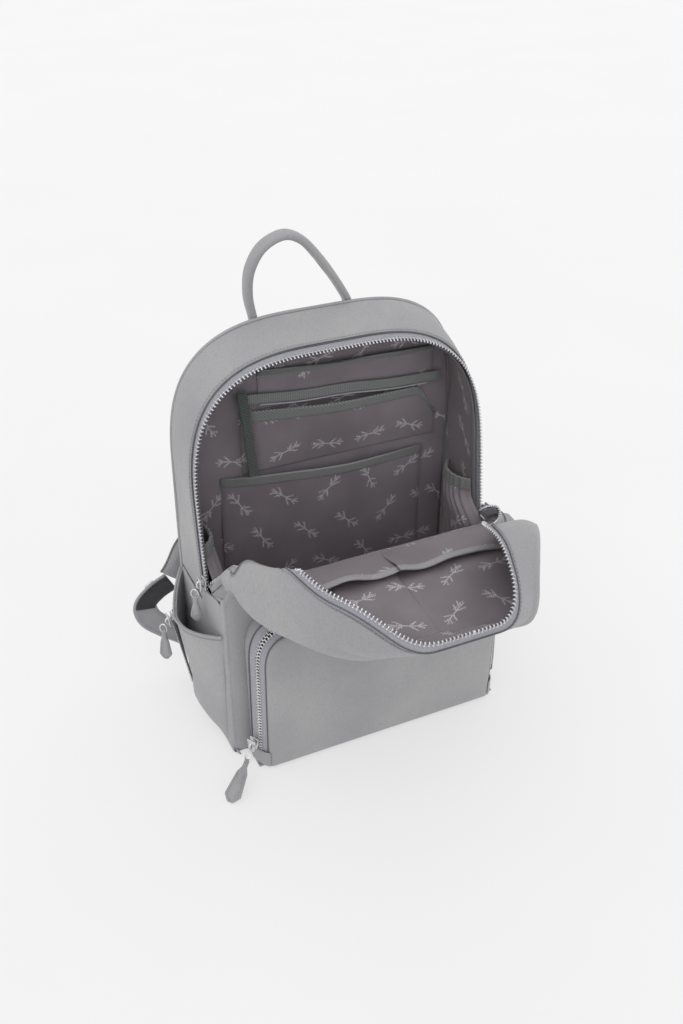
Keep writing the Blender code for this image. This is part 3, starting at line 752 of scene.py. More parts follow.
SEAM_SIDES = {"left": (SEAM_DEPTH, SEAM_REACH), "right": (SEAM_DEPTH, SEAM_REACH)}
TAPE_NEAR, TAPE_FAR = 0.0036, 0.0108
SIDE_SEAM_Z = 0.150
SKIN_FOOT = 0.0012


def floor_tuck(z):
    """How far the shell's skin is drawn in where it turns under the bag."""
    return 0.006 * np.clip(1 - z / 0.010, 0.0, 1.0) ** 2


def make_body_leather():
    rows = shell_rows(0.0, 0.0, 190, SIDE_SEAM_Z)
    grid = puffed(shell_strip(rows, TAPE_FAR, 0.0, edged(0.07, 13)), 0.0018, 0.0011, 0.075, 3)
    sides = {**SEAM_SIDES, "top": (SEAM_DEPTH, SEAM_REACH), "bottom": (SEAM_DEPTH, SEAM_REACH)}
    piece = sheet_mesh("gusset_leather", grid, SKIN, LEATHER, "bag", sides=sides)
    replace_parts(piece, "body_gusset")
    stitches("gusset_stitches", [near_edge_line(grid, "left", 0.0032)], "bag")
    for side, word in SIDES:
        lower = sided(side_panel(), side)
        borders = {"top": (0.006, 0.010), "bottom": (0.0012, 0.0035)}
        borders["left" if side < 0 else "right"] = (0.0032, 0.0075)
        borders["right" if side < 0 else "left"] = (0.0020, 0.0050)
        sheet_mesh(f"side_panel_{word}", lower, SKIN, LEATHER, "bag", sides=borders)


def side_panel():
    """The lower left side, from the floor to the zipper's end and the side seam."""
    columns = edged(0.13, 22)
    heights = edged(0.16, 22)
    grid = np.zeros((len(heights), len(columns), 3))
    for c, share in enumerate(columns):
        for r, rise in enumerate(heights):
            y = seam_y(0.09) + (WALL_Y - seam_y(0.09)) * share
            top = 0.1505 + 0.0235 * (1 - float(smooth(y, -0.0085, -0.0010))) + 0.008 * (1 - float(smooth(y, -0.05, -0.02)))
            z = SKIN_FOOT + (top - SKIN_FOOT) * rise
            front = seam_y(z)
            grid[r, c] = (-HALF, front + (WALL_Y - front) * share, z)
    return puffed(grid, 0.0022, 0.0012, 0.08, 5)


def make_back():
    """Padded back, its piping, and the lined wall inside."""
    levels = edged(0.40, 40, 0.012)
    across = edged(0.30, 30, 0.012)
    outline = arch(WIDTH - 0.001, BACK_HEIGHT, CORNER, np.linspace(0.0006, BACK_HEIGHT - CORNER, 60), CORNER_PARTS)
    left = outline[: len(outline) // 2]

    def wall(y, inset, bottom, facing, crown):
        top = BACK_HEIGHT - inset
        z = bottom + (top - bottom) * levels
        half = np.interp(np.minimum(z + inset * 0.3, left[-1, 1]), left[:, 1], -left[:, 0]) - inset
        half = np.maximum(half, CORNER * 0.12)
        x = half[:, None] * (2 * across[None, :] - 1) * facing
        grid = np.stack([x, np.full_like(x, y), np.repeat(z[:, None], len(across), axis=1)], axis=-1)
        rim_gap = np.minimum(half[:, None] - np.abs(x), np.minimum(top - z, z - bottom)[:, None])
        grid[..., 1] += crown * smooth(rim_gap, 0.0, 0.020)
        return grid

    back = wall(BACK_Y - 0.0042, 0.0005, 0.0018, 1, 0.0042)
    ribs = np.zeros(back.shape[:2])
    for line in (-0.052, 0.052):
        ribs = np.maximum(ribs, np.exp(-((back[..., 0] - line) / 0.0035) ** 2) * smooth(back[..., 2], 0.045, 0.075)
                          * (1 - smooth(back[..., 2], 0.30, 0.33)))
    back[..., 1] -= 0.0022 * ribs
    pad = sheet_mesh("back_pad", back, 0.0035, LEATHER, "bag")
    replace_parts(pad, "back_panel")
    runs = []
    for line in (-0.052, 0.052):
        z = np.linspace(0.062, 0.315, 90)
        path = np.stack([np.full_like(z, line), np.full_like(z, BACK_Y - 0.0018), z], axis=-1)
        runs.append((path, np.tile((0.0, 1.0, 0.0), (len(z), 1))))
    stitches("back_stitches", runs, "bag")
    inner = wall(WALL_Y - 0.0022, 0.006, 0.009, -1, 0.0)
    inner[..., 1] -= 0.0010 + ripple(inner, 0.0010, 0.09, 8)
    cloth = np.stack([inner[..., 0], inner[..., 2], 0 * inner[..., 0]], axis=-1)
    piece = sheet_mesh("back_wall_lining", inner, 0.0008, PRINT, "bag", cloth)
    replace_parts(piece, "back_lining")
    _, edge = shell_rows(0.0, 0.003, 220)
    edge = edge + (0.0, 0.0012, 0.0)
    edge[:, 0] -= np.sign(edge[:, 0]) * floor_tuck(edge[:, 2])
    tube_mesh("back_piping", edge, (0, 1, 0), 0.0019, 0.0019, LEATHER, "bag", 10)


def make_body_lining():
    rows = shell_rows(0.0036, 0.008, 170)
    grid = shell_strip(rows, 0.0085, -0.0025, np.linspace(0, 1, 16))
    grid = grid + grid_normals(grid) * ripple(grid, 0.0010, 0.05, 11)[..., None] * 0.6
    cloth = strip_cloth(grid)[:, ::-1]
    piece = sheet_mesh("side_wall_lining", grid[:, ::-1], 0.0008, PRINT, "bag", cloth)
    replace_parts(piece, "body_lining")
    z = np.linspace(0.008, ZIP_END_Z + 0.012, 20)
    x = np.linspace(-HALF + 0.0045, HALF - 0.0045, 34)
    front = np.stack(np.broadcast_arrays(x[None, :], (seam_y(z) + 0.0042)[:, None], z[:, None]), axis=-1)
    front = front + (0.0, 1.0, 0.0) * np.maximum(ripple(front, 0.0012, 0.06, 12), -0.001)[..., None]
    cloth = np.stack([front[..., 0], front[..., 2] + 0.5, 0 * front[..., 0]], axis=-1)
    piece = sheet_mesh("front_wall_lining", front, 0.0008, PRINT, "bag", cloth)
    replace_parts(piece, "front_lining")


def make_body_zipper():
    rows = shell_rows(0.0006, 0.0, 260, ZIP_END_Z - 0.004)
    tape = shell_strip(rows, TAPE_NEAR, TAPE_FAR + 0.001, np.linspace(0, 1, 7))
    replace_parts(sheet_mesh("arch_zip_tape", tape, 0.0009, TAPE_CLOTH, "bag", strip_cloth(tape)), "body_zip_tape")
    line = shell_strip(rows, 0.0, 0.004, [0.0, 1.0])
    row = teeth("arch_zip_teeth", line[:, 0], line[:, 1] - line[:, 0], "bag")
    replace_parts(row, "body_zip_teeth")
    seam = shell_strip(shell_rows(-0.0003, 0.0, 260, ZIP_END_Z - 0.004), TAPE_FAR - 0.0004, TAPE_FAR, [0.0])[:, 0]
    tube_mesh("arch_zip_fold", seam, (0, 1, 0), 0.0007, 0.0007, EDGE, "bag", 8)
    cord = shell_strip(rows, TAPE_NEAR + 0.0004, TAPE_FAR, [0.0])[:, 0]
    tube_mesh("arch_zip_cord", cord, (0, 1, 0), 0.0009, 0.0009, TAPE_CLOTH, "bag", 8)
    binding = shell_strip(shell_rows(0.0046, 0.0, 200, ZIP_END_Z), 0.0075, 0.0135, np.linspace(0, 1, 4))
    sheet_mesh("arch_inner_binding", binding[:, ::-1], 0.0008, BINDING, "bag", strip_cloth(binding)[:, ::-1])


def make_base():
    across, along = edged(0.29, 30, 0.012), edged(0.13, 16, 0.012)
    front, back = seam_y(0) + 0.0055, WALL_Y - 0.001
    x = (HALF - 0.0055) * (2 * across - 1)
    y = front + (back - front) * along
    grid = np.stack(np.broadcast_arrays(x[None, :], y[:, None], np.full((1, 1), 0.0003)), axis=-1)
    piece = sheet_mesh("base_leather", grid, SKIN, LEATHER, "bag")
    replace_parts(piece, "base_panel")
    frame["nodes"]["base_board"].data.materials.clear()
    frame["nodes"]["base_board"].data.materials.append(BOARD)
    floor = grid[:, ::-1] * (0.985, 0.985, 1.0) + (0.0, 0.0, 0.0082)
    cloth = np.stack([floor[..., 0], floor[..., 1], 0 * floor[..., 0]], axis=-1)
    sheet_mesh("base_wall_lining", floor, 0.0008, PRINT, "bag", cloth)


def make_front():
    """Lower front wall below the flap's root."""
    heights, across = edged(0.19, 22), edged(0.30, 30)
    z = SKIN_FOOT + (0.190 - SKIN_FOOT) * heights
    tuck = 1.3 * floor_tuck(z)[:, None]
    x = (HALF - tuck) * (1 - 2 * across[None, :])
    near_side = smooth(np.abs(1 - 2 * across[None, :]), 0.90, 1.0)
    grid = np.stack(np.broadcast_arrays(x, seam_y(z)[:, None] + tuck * near_side, z[:, None]), axis=-1)
    grid = puffed(np.array(grid), 0.0015, 0.0008, 0.08, 15)
    borders = {"left": (0.0030, 0.0070), "right": (0.0030, 0.0070), "top": (0.005, 0.009)}
    piece = sheet_mesh("front_leather", grid, SKIN, LEATHER, "bag", sides=borders)
    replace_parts(piece, "lower_front_panel", "front_fold")
    for side, word in SIDES:
        zs = np.linspace(0.007, 0.188, 60)
        tuck = floor_tuck(zs)
        path = np.stack([side * (HALF - 0.0030 - 1.5 * tuck), seam_y(zs) + 0.0030 + 1.5 * tuck, zs], axis=-1)
        thick = 0.0010 + 0.0019 * smooth(zs, 0.007, 0.020)
        tube_mesh(f"front_corner_{word}", path, (0, 1, 0), thick, thick, LEATHER, "bag", 14)


# ---- Flap ----

LEATHER_TOP = 0.0345
ROUND = 0.009
ALONG = np.array((0.0, -math.cos(FLAP_TILT), math.sin(FLAP_TILT)))
INWARD = np.array((0.0, math.sin(FLAP_TILT), math.cos(FLAP_TILT)))
RIM_STEPS = 78


def flap_rim(count=RIM_STEPS):
    """Left half of the flap's outline in its own (x, s), root to tip, with outward directions and shares."""
    outline = arch(WIDTH, FLAP_LENGTH, CORNER, np.linspace(FLAP_ROOT, FLAP_LENGTH - CORNER, 30), CORNER_PARTS)
    half = np.concatenate([outline[: len(outline) // 2], [(0.0, FLAP_LENGTH)]])
    where = np.linspace(0, lengths(half)[-1], count)
    rim = resample(half, where)
    tangent = unit(np.gradient(rim, axis=0))
    tangent[-1] = (1.0, 0.0)
    tangent[0] = (0.0, 1.0)
    return rim, np.stack([-tangent[:, 1], tangent[:, 0]], axis=-1), np.linspace(0, 1, count)


RIM, RIM_OUT, RIM_SHARE = flap_rim()
LEAN = {-1: 0.004 + 0.032 * smooth(RIM_SHARE, 0.05, 0.60), 1: 0.003 + 0.029 * smooth(RIM_SHARE, 0.40, 0.95)}


def flap_world(flat, side):
    """Points (x, s, h) of the flat, left-handed flap half, folded up into place."""
    x, s, h = np.moveaxis(np.asarray(flat, float), -1, 0)
    slump = ROOT_SLUMP[side] * (0.3 + 0.7 * smooth(s, 0.012, 0.06)) * (1 - smooth(s, 0.095, 0.198))
    slump = slump * smooth(h, 0.004, FLAP_WALL) * smooth(-x, 0.05, 0.11)
    near_root = np.exp(-((s - FLAP_ROOT) / ROOT_SPREAD[side]) ** 2) * smooth(h, 0.0, LEATHER_TOP) * smooth(-x, 0.06, 0.13)
    x = x + ROOT_PINCH[side] * near_root
    h = h - ROOT_SINK[side] * near_root
    beside_root = smooth(s, 0.012, 0.045) * (1 - smooth(s, 0.080, 0.150))
    h = h + ROOT_LIFT[side] * beside_root * smooth(h, 0.0, 0.030) * smooth(-x, 0.06, 0.13)
    level = CURL_LEVEL[side] - ROOT_DIP[side] * (1 - smooth(s, 0.012, 0.046))
    rise = np.maximum(h - level, 0.0)
    bend = CURL_TURN[side] * (1 - smooth(s, *CURL_RANGE[side])) * smooth(rise, 0.0, 0.012) * smooth(-x, 0.06, 0.13)
    x = -side * (x + rise * np.sin(bend))
    h = np.minimum(h, level) + rise * np.cos(bend)
    points = HINGE + x[..., None] * np.array((1.0, 0, 0)) + s[..., None] * ALONG + h[..., None] * INWARD
    points = fold(points, side)
    points[..., 0] -= side * slump
    points[..., 2] -= 0.28 * slump
    return points


ROOT_PINCH = {-1: 0.006, 1: 0.006}
ROOT_SINK = {-1: 0.009, 1: 0.019}
ROOT_SLUMP = {-1: 0.0, 1: 0.036}
ROOT_LIFT = {-1: 0.024, 1: 0.0}
ROOT_DIP = {-1: 0.022, 1: 0.0}
CURL_LEVEL = {-1: 0.050, 1: 0.012}
CURL_TURN = {-1: math.radians(135), 1: math.radians(20)}
CURL_RANGE = {-1: (0.060, 0.140), 1: (0.020, 0.125)}
ROOT_SPREAD = {-1: 0.034, 1: 0.048}
FOLD_STEPS = 140
CREASE_LEVEL = 0.020
CREASE_START = {-1: 0.006, 1: 0.004}
CREASE_REACH = {-1: 0.046, 1: 0.040}


def crease(side):
    """The fold line's point and direction, its angle, and the blend's start and end."""
    word = "left" if side < 0 else "right"
    joint = joint_of[f"flap_side_{word}_fold"]
    place, axis = np.array(joint["pos_m"], float), unit(joint["axis"])
    angle = math.radians(40 if side < 0 else 70)
    outwards = np.cross(axis, INWARD)
    outwards = unit(outwards * np.sign(outwards[0] * side))
    tilt = angle / 2
    aim = outwards * math.cos(tilt) + INWARD * math.sin(tilt)
    level = place + INWARD * (CREASE_LEVEL - np.dot(place - HINGE, INWARD))
    start = level + aim * CREASE_START[side]
    return place, axis, angle, start, start + aim * CREASE_REACH[side]


def turned(points, place, axis, angle):
    """Points turned about a line by an angle for each, or one for all."""
    arm = points - place
    cos, sin = np.cos(angle)[..., None], np.sin(angle)[..., None]
    straight = np.sum(arm * axis, axis=-1, keepdims=True) * axis
    return place + arm * cos + np.cross(axis, arm) * sin + straight * (1 - cos)


def fold(points, side):
    """Where points of the flat flap rest, so that opening the fold again lays them exactly flat."""
    place, axis, angle, start, end = crease(side)
    aim = end - start
    shape = points.shape
    points = points.reshape(-1, 3)
    tries = np.linspace(0.0, 1.0, FOLD_STEPS)
    short = []
    for share in tries:
        moved = turned(points, place, axis, np.full(len(points), -share * angle))
        weight = smooth((moved - start) @ aim / (aim @ aim))
        short.append(weight - share)
    short = np.array(short)
    first = np.argmax(short <= 0, axis=0)
    first = np.where(short.min(axis=0) > 0, FOLD_STEPS - 1, first)
    before = np.maximum(first - 1, 0)
    row = np.arange(len(points))
    high_gap, low_gap = short[before, row], short[first, row]
    part = np.where(first == before, 0.0, high_gap / np.maximum(high_gap - low_gap, 1e-9))
    share = tries[before] + (tries[first] - tries[before]) * np.clip(part, 0, 1)
    return turned(points, place, axis, -share * angle).reshape(shape)


def flap_piece(piece, side):
    """Bakes a flap piece's placement into its mesh."""
    word = "left" if side < 0 else "right"
    start, end = crease(side)[3:]
    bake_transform(piece)
    return piece


def flap_surface(side, inset, floor, top, panel_steps=24):
    """Flat grid (rim step, column) from the flap's middle line out to the rim and up its wall."""
    lean = LEAN[side]
    rim = RIM - RIM_OUT * inset
    middle = np.stack([np.zeros_like(RIM_SHARE), FLAP_ROOT + 0.095 * RIM_SHARE], axis=-1)
    edge = rim - RIM_OUT * (lean + ROUND)[:, None]
    columns = []
    for share in np.linspace(0, 1, panel_steps):
        columns.append((middle + (edge - middle) * share, np.full(len(rim), floor)))
    for angle in np.linspace(0, math.pi / 2, 6)[1:]:
        place = edge + RIM_OUT * ROUND * math.sin(angle)
        columns.append((place, np.full(len(rim), floor + ROUND * (1 - math.cos(angle)))))
    for share in np.linspace(0, 1, 9)[1:]:
        bulge = 0.0022 * math.sin(math.pi * share)
        place = rim - RIM_OUT * (lean * (1 - share) - bulge)[:, None]
        columns.append((place, np.full(len(rim), floor + ROUND + (top - floor - ROUND) * share)))
    flat = np.stack([np.concatenate([place, height[:, None]], axis=-1) for place, height in columns], axis=1)
    return flat


def flap_cloth(flat):
    """Cloth coordinates of a flap surface: its wall unrolled outward."""
    along = np.stack([lengths(row) for row in flat])
    start = flat[:, :1, :2]
    heading = unit(flat[:, 20:21, :2] - flat[:, :1, :2])
    return np.concatenate([start + heading * along[..., None], np.zeros_like(along)[..., None]], axis=-1)


def flap_grid(flat, side, flip=False):
    grid = flap_world(flat, side)
    if (side > 0) != flip:
        grid = grid[:, ::-1]
    return grid


def make_flap():
    rooted = {}
    replaced = {-1: ["flap_panel", "flap_side_left", "flap_gusset_left"],
                1: ["flap_gusset_tip", "flap_side_right", "flap_gusset_right"]}
    linings = {-1: ["flap_lining", "flap_lining_left"], 1: ["flap_lining_right"]}
    zips = {-1: ["flap_zip_left", "flap_zip_tip"], 1: ["flap_zip_right"]}
    for side, word in SIDES:
        flat = flap_surface(side, 0.0, 0.0, LEATHER_TOP)
        sag = ripple(flat, 0.0016, 0.075, 21 + side) * smooth(RIM_SHARE, 0.0, 0.08)[:, None]
        flat[..., 2] += sag * np.array([1.0] * 24 + [0.6] * 5 + [0.3] * 8)
        wave = ripple(flat * (1.0, 1.0, 2.0), 0.0015, 0.085, 24 + side) * smooth(RIM_SHARE, 0.0, 0.08)[:, None]
        flat[:, 24:, :2] += RIM_OUT[:, None] * (wave[:, 24:] * np.sin(np.linspace(0.2, math.pi, 13)))[..., None]
        grid = flap_grid(flat, side)
        cloth = flap_cloth(flat)
        cloth = cloth if side < 0 else cloth[:, ::-1]
        edge = "right" if side < 0 else "left"
        piece = sheet_mesh(f"flap_leather_{word}", grid, SKIN, LEATHER, None, cloth, {edge: (0.0008, 0.002)})
        flap_piece(piece, side)
        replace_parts(piece, *replaced[side])
        rooted[side] = flap_world(flat, side)[0]
        run = near_edge_line(grid, edge, 0.0030)
        flap_piece(stitches(f"flap_stitches_{word}", [run], None), side)

        inner = flap_surface(side, 0.0026, 0.0050, LEATHER_TOP + 0.002)
        inner[..., 2] += np.maximum(ripple(inner, 0.0018, 0.06, 31 + side), -0.002) * smooth(RIM_SHARE, 0.0, 0.08)[:, None]
        cloth = flap_cloth(inner) * (side, 1.0, 1.0)
        grid = flap_grid(inner, side, flip=True)
        cloth = cloth if side > 0 else cloth[:, ::-1]
        piece = sheet_mesh(f"flap_lining_cloth_{word}", grid, 0.0008, PRINT, None, cloth)
        flap_piece(piece, side)
        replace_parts(piece, *linings[side])

        make_flap_zipper(side, word, zips[side])
        make_slip_pocket(side, word)
    make_flap_root(rooted)


def make_flap_zipper(side, word, nodes):
    rim = RIM - RIM_OUT * 0.0004
    heights = np.linspace(LEATHER_TOP - 0.001, FLAP_WALL - TEETH + 0.0006, 6)
    tape = np.stack([np.concatenate([rim, np.full((len(rim), 1), h)], axis=-1) for h in heights], axis=1)
    grid = flap_grid(tape, side)
    piece = sheet_mesh(f"flap_zip_tape_{word}", grid, 0.0009, TAPE_CLOTH, None, strip_cloth(grid))
    flap_piece(piece, side)
    tips = np.concatenate([rim, np.full((len(rim), 1), FLAP_WALL)], axis=-1)
    roots = np.concatenate([rim, np.full((len(rim), 1), FLAP_WALL - TEETH)], axis=-1)
    line, base = flap_world(tips, side), flap_world(roots, side)
    row = teeth(f"flap_zip_teeth_{word}", line, base - line, None)
    flap_piece(row, side)
    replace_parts(row, *nodes)
    cord = flap_world(roots + (0.0, 0.0, 0.0004), side)
    flap_piece(tube_mesh(f"flap_zip_cord_{word}", cord, (0, 0, 1), 0.0009, 0.0009, TAPE_CLOTH, None, 8), side)
    seam = np.concatenate([RIM + RIM_OUT * 0.0003, np.full((len(rim), 1), LEATHER_TOP + 0.0002)], axis=-1)
    path = flap_world(seam, side)
    flap_piece(tube_mesh(f"flap_zip_fold_{word}", path, (0, 0, 1), 0.0007, 0.0007, EDGE, None, 8), side)
    inner = RIM - RIM_OUT * 0.0036
    bound = np.stack([np.concatenate([inner, np.full((len(rim), 1), h)], axis=-1)
                      for h in np.linspace(LEATHER_TOP - 0.002, LEATHER_TOP + 0.0035, 4)], axis=1)
    grid = flap_grid(bound, side, flip=True)
    flap_piece(sheet_mesh(f"flap_inner_binding_{word}", grid, 0.0008, BINDING, None, strip_cloth(grid)), side)


SLIP_HALF = {-1: 0.120, 1: 0.128}
SLIP_FOOT = 0.016
SLIP_RIM = 0.056


def slip_flat(side, levels, lift):
    """Flat grid of the slip pocket's front cloth between two levels from root to tip."""
    reach = SLIP_HALF[side]
    across = np.linspace(-reach, 0.0, 46)
    s = np.linspace(*levels, 14)
    x, s = np.meshgrid(across, s, indexing="ij")
    share = smooth(s, SLIP_FOOT, SLIP_RIM)
    ease = 1 - np.abs(x / reach) ** 3
    wobble = 1 + 0.35 * np.sin(x * 61.0 + 0.8 * side) + 0.2 * np.sin(x * 118.0 + 1.1)
    h = 0.0072 + lift + 0.0075 * share * ease * wobble
    s = s + 0.003 * np.sin(x * 23.0 + 0.6 + 0.7 * side) * share * ease
    return np.stack([x, s, h], axis=-1)


def make_slip_pocket(side, word):
    flat = slip_flat(side, (SLIP_FOOT, SLIP_RIM), 0.0)
    grid = flap_grid(flat, side, flip=True)
    cloth = np.stack([flat[..., 0] * side, flat[..., 1] + 0.017, 0 * flat[..., 0]], axis=-1)
    cloth = cloth if side > 0 else cloth[:, ::-1]
    piece = sheet_mesh(f"flap_slip_cloth_{word}", grid, 0.0008, PRINT, None, cloth)
    flap_piece(piece, side)
    if side < 0:
        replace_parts(piece, "flap_slip_pocket")
    edge = flap_grid(slip_flat(side, (SLIP_RIM - 0.0055, SLIP_RIM + 0.0008), 0.0010), side, flip=True)
    flap_piece(sheet_mesh(f"flap_slip_binding_{word}", edge, 0.0022, LEATHER, None, strip_cloth(edge)), side)


def make_flap_root(rooted):
    """The soft fold from the body's zipper ends and front wall into the flap."""
    shares = np.concatenate([np.linspace(0, 1, 20)])
    left, right = rooted[-1], rooted[1]
    ends = np.concatenate([left[::-1], right[1:]])
    panel = 24
    starts, leave, arrive, wall = [], [], [], []
    for side, row in ((-1, left), (1, right)):
        width = np.abs(row[panel - 1, 0])
        block = []
        for k, point in enumerate(row):
            if k < panel:
                x = point[0] * (HALF - 0.004) / width
                block.append(((x, seam_y(0.186) - 0.0002, 0.186), (0, 0, 0.018), ALONG * 0.014, 0.0))
            else:
                share = (k - panel + 1) / (len(row) - panel)
                rise = float(smooth(share))
                y = seam_y(0.186) + (ZIP_FRONT_Y - seam_y(0.186)) * share
                place = (side * (HALF - 0.0008), y, 0.186 - 0.011 * rise)
                block.append((place, (side * 0.004, 0, 0.018 + 0.008 * share), ALONG * (0.014 + 0.026 * share), share))
        block = block[::-1] if side < 0 else block[1:]
        starts += [b[0] for b in block]
        leave += [b[1] for b in block]
        arrive += [b[2] for b in block]
        wall += [b[3] for b in block]
    starts, leave, arrive, wall = map(np.array, (starts, leave, arrive, wall))
    grid = hermite(starts, ends, leave, arrive, shares)
    side_of = np.sign(ends[:, 0])
    tuck = np.sin(np.pi * np.clip(shares / 0.62, 0, 1))[:, None] * np.sin(np.pi * np.clip(wall, 0, 1))[None, :]
    grid[..., 0] -= side_of[None, :] * 0.009 * tuck
    grid = grid + grid_normals(grid) * (ripple(grid, 0.0010, 0.04, 41) * np.sin(np.pi * shares)[:, None])[..., None]
    facing = grid[:, ::-1]
    piece = sheet_mesh("flap_root_leather", facing, SKIN, LEATHER, None)
    blend_root(piece)
    inside = grid - grid_normals(facing)[:, ::-1] * 0.0032
    inside = inside[:, 2:-2]
    cloth = strip_cloth(inside)[..., ::-1][..., [1, 2, 0]]
    piece = sheet_mesh("flap_root_lining", inside, 0.0008, PRINT, None, cloth)
    blend_root(piece)
    for side, word in SIDES:
        make_root_zipper(side, word)


ZIP_FRONT_Y = -0.0250


def blend_root(piece):
    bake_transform(piece)


def make_root_zipper(side, word):
    """Both edges of the tape from the body's zipper end to the flap's."""
    flat_line = np.array([(RIM[0, 0] + 0.0004, FLAP_ROOT, h) for h in (FLAP_WALL, FLAP_WALL - TEETH, LEATHER_TOP - 0.001)])
    ends = flap_world(flat_line, side)
    z = ZIP_END_Z + 0.006
    start_y = zip_y(z)
    starts = np.array([(side * (HALF - 0.0010), start_y - d, z) for d in (0.0003, TEETH, 0.0135)])
    leave = np.array([(0.0, 0.004, 0.036), (0.0, 0.003, 0.034), (0.0, 0.0, 0.028)])
    arrive = np.array([ALONG * 0.060, ALONG * 0.055, ALONG * 0.046])
    shares = np.linspace(0, 1, 30)
    curves = hermite(starts, ends, leave, arrive, shares)
    curves = curves + np.sin(np.pi * shares)[:, None, None] * np.array((-side * 0.005, 0.0, -0.007))
    tape = np.stack([curves[:, 1] + (curves[:, 2] - curves[:, 1]) * share for share in np.linspace(0, 1, 5)], axis=1)
    tape = tape if side > 0 else tape[:, ::-1]
    blend_root(sheet_mesh(f"root_zip_tape_{word}", tape, 0.0009, TAPE_CLOTH, None, strip_cloth(tape)))
    blend_root(teeth(f"root_zip_teeth_{word}", curves[:, 0], curves[:, 1] - curves[:, 0], None))
    blend_root(tube_mesh(f"root_zip_fold_{word}", curves[:, 2] + (side * 0.0004, 0, 0), (0, 0, 1), 0.0007, 0.0007,
                         EDGE, None, 8))


# ---- Pockets outside ----

POCKET_WIDTH = high("front_pocket_gusset")[0] * 2
POCKET_HEIGHT = high("front_pocket_gusset")[2]
POCKET_CORNER = 0.050
POCKET_FOOT = low("front_pocket_lid")[2]
POCKET_LEVELS = {"gusset": ((0.0006, None), (0.0, -0.0742)), "tape": ((0.0002, -0.0740), (0.0030, -0.0838)),
                 "lid_tape": ((0.0044, -0.0886), (0.0088, -0.0940)),
                 "teeth": ((0.0037, -0.0868), (0.0030, -0.0826)), "lid_teeth": ((0.0035, -0.0857), (0.0049, -0.0897))}


def half_width(z, width, height, corner):
    """The arch's half width at a height."""
    up = np.clip((z - (height - corner)) / corner, 0.0, 1.0)
    return width / 2 - corner + corner * (1 - up**CORNER_POWER) ** (1 / CORNER_POWER)


def pocket_ring(inset, count=190):
    """The front pocket's outline, inset, with points that match from ring to ring."""

    def outline(by):
        corner = POCKET_CORNER - by
        legs = POCKET_FOOT + (POCKET_HEIGHT - by - corner - POCKET_FOOT) * LEG_PARTS
        return arch(POCKET_WIDTH - 2 * by, POCKET_HEIGHT - by, corner, legs, CORNER_PARTS)

    base = outline(0.0)
    where = np.linspace(0, lengths(base)[-1], count)
    return resample(outline(inset), where, base)


def pocket_strip(first, last, steps):
    (inset_a, y_a), (inset_b, y_b) = first, last
    a, b = pocket_ring(inset_a), pocket_ring(inset_b)
    start = np.stack([a[:, 0], seam_y(a[:, 1]) - 0.0004 if y_a is None else np.full(len(a), y_a), a[:, 1]], axis=-1)
    end = np.stack([b[:, 0], np.full(len(b), y_b), b[:, 1]], axis=-1)
    shares = np.linspace(0, 1, steps)[None, :, None]
    return (start[:, None] + (end - start)[:, None] * shares)[:, ::-1]


def make_front_pocket():
    gusset = pocket_strip(*POCKET_LEVELS["gusset"], 8)
    borders = {"left": (0.0010, 0.0025), "right": (0.0016, 0.0040)}
    piece = sheet_mesh("front_pocket_side", gusset, SKIN, LEATHER, "bag", sides=borders)
    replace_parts(piece, "front_pocket_gusset")
    for name, key, body in (("front_pocket_tape_in", "tape", "bag"), ("front_pocket_tape_out", "lid_tape", "front_lid")):
        tape = pocket_strip(*POCKET_LEVELS[key], 5)
        piece = sheet_mesh(name, tape, 0.0009, TAPE_CLOTH, body, strip_cloth(tape))
        if body == "bag":
            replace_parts(piece, "front_pocket_zip")
    for name, body, key, start in (("front_pocket_teeth_in", "bag", "teeth", 0.0),
                                   ("front_pocket_teeth_out", "front_lid", "lid_teeth", PITCH / 2)):
        rows = []
        for inset, y in POCKET_LEVELS[key]:
            ring = pocket_ring(inset)
            rows.append(np.stack([ring[:, 0], np.full(len(ring), y), ring[:, 1]], axis=-1))
        teeth(name, rows[0], rows[1] - rows[0], body, depth=0.0040, start=start)
    for name, (inset, y), body in (("front_pocket_fold_in", (-0.0002, -0.0744), "bag"),
                                   ("front_pocket_fold_out", (0.0086, -0.0940), "front_lid")):
        ring = pocket_ring(inset)
        path = np.stack([ring[:, 0], np.full(len(ring), y), ring[:, 1]], axis=-1)
        tube_mesh(name, path, (0, 1, 0), 0.0007, 0.0007, EDGE, body, 8)
    make_pocket_lid()
    x, y = edged(0.26, 24), edged(0.02, 6)
    floor_x = (POCKET_WIDTH / 2 - 0.001) * (2 * x - 1)
    floor_y = -0.0905 + (seam_y(0) - 0.0006 + 0.0905) * y
    floor = np.stack(np.broadcast_arrays(floor_x[None, ::-1], floor_y[:, None], np.full((1, 1), 0.0006)), axis=-1)
    piece = sheet_mesh("front_pocket_base", np.array(floor)[:, ::-1] + (0, 0, 0.0), 0.0018, LEATHER, "bag")
    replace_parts(piece, "front_pocket_floor")


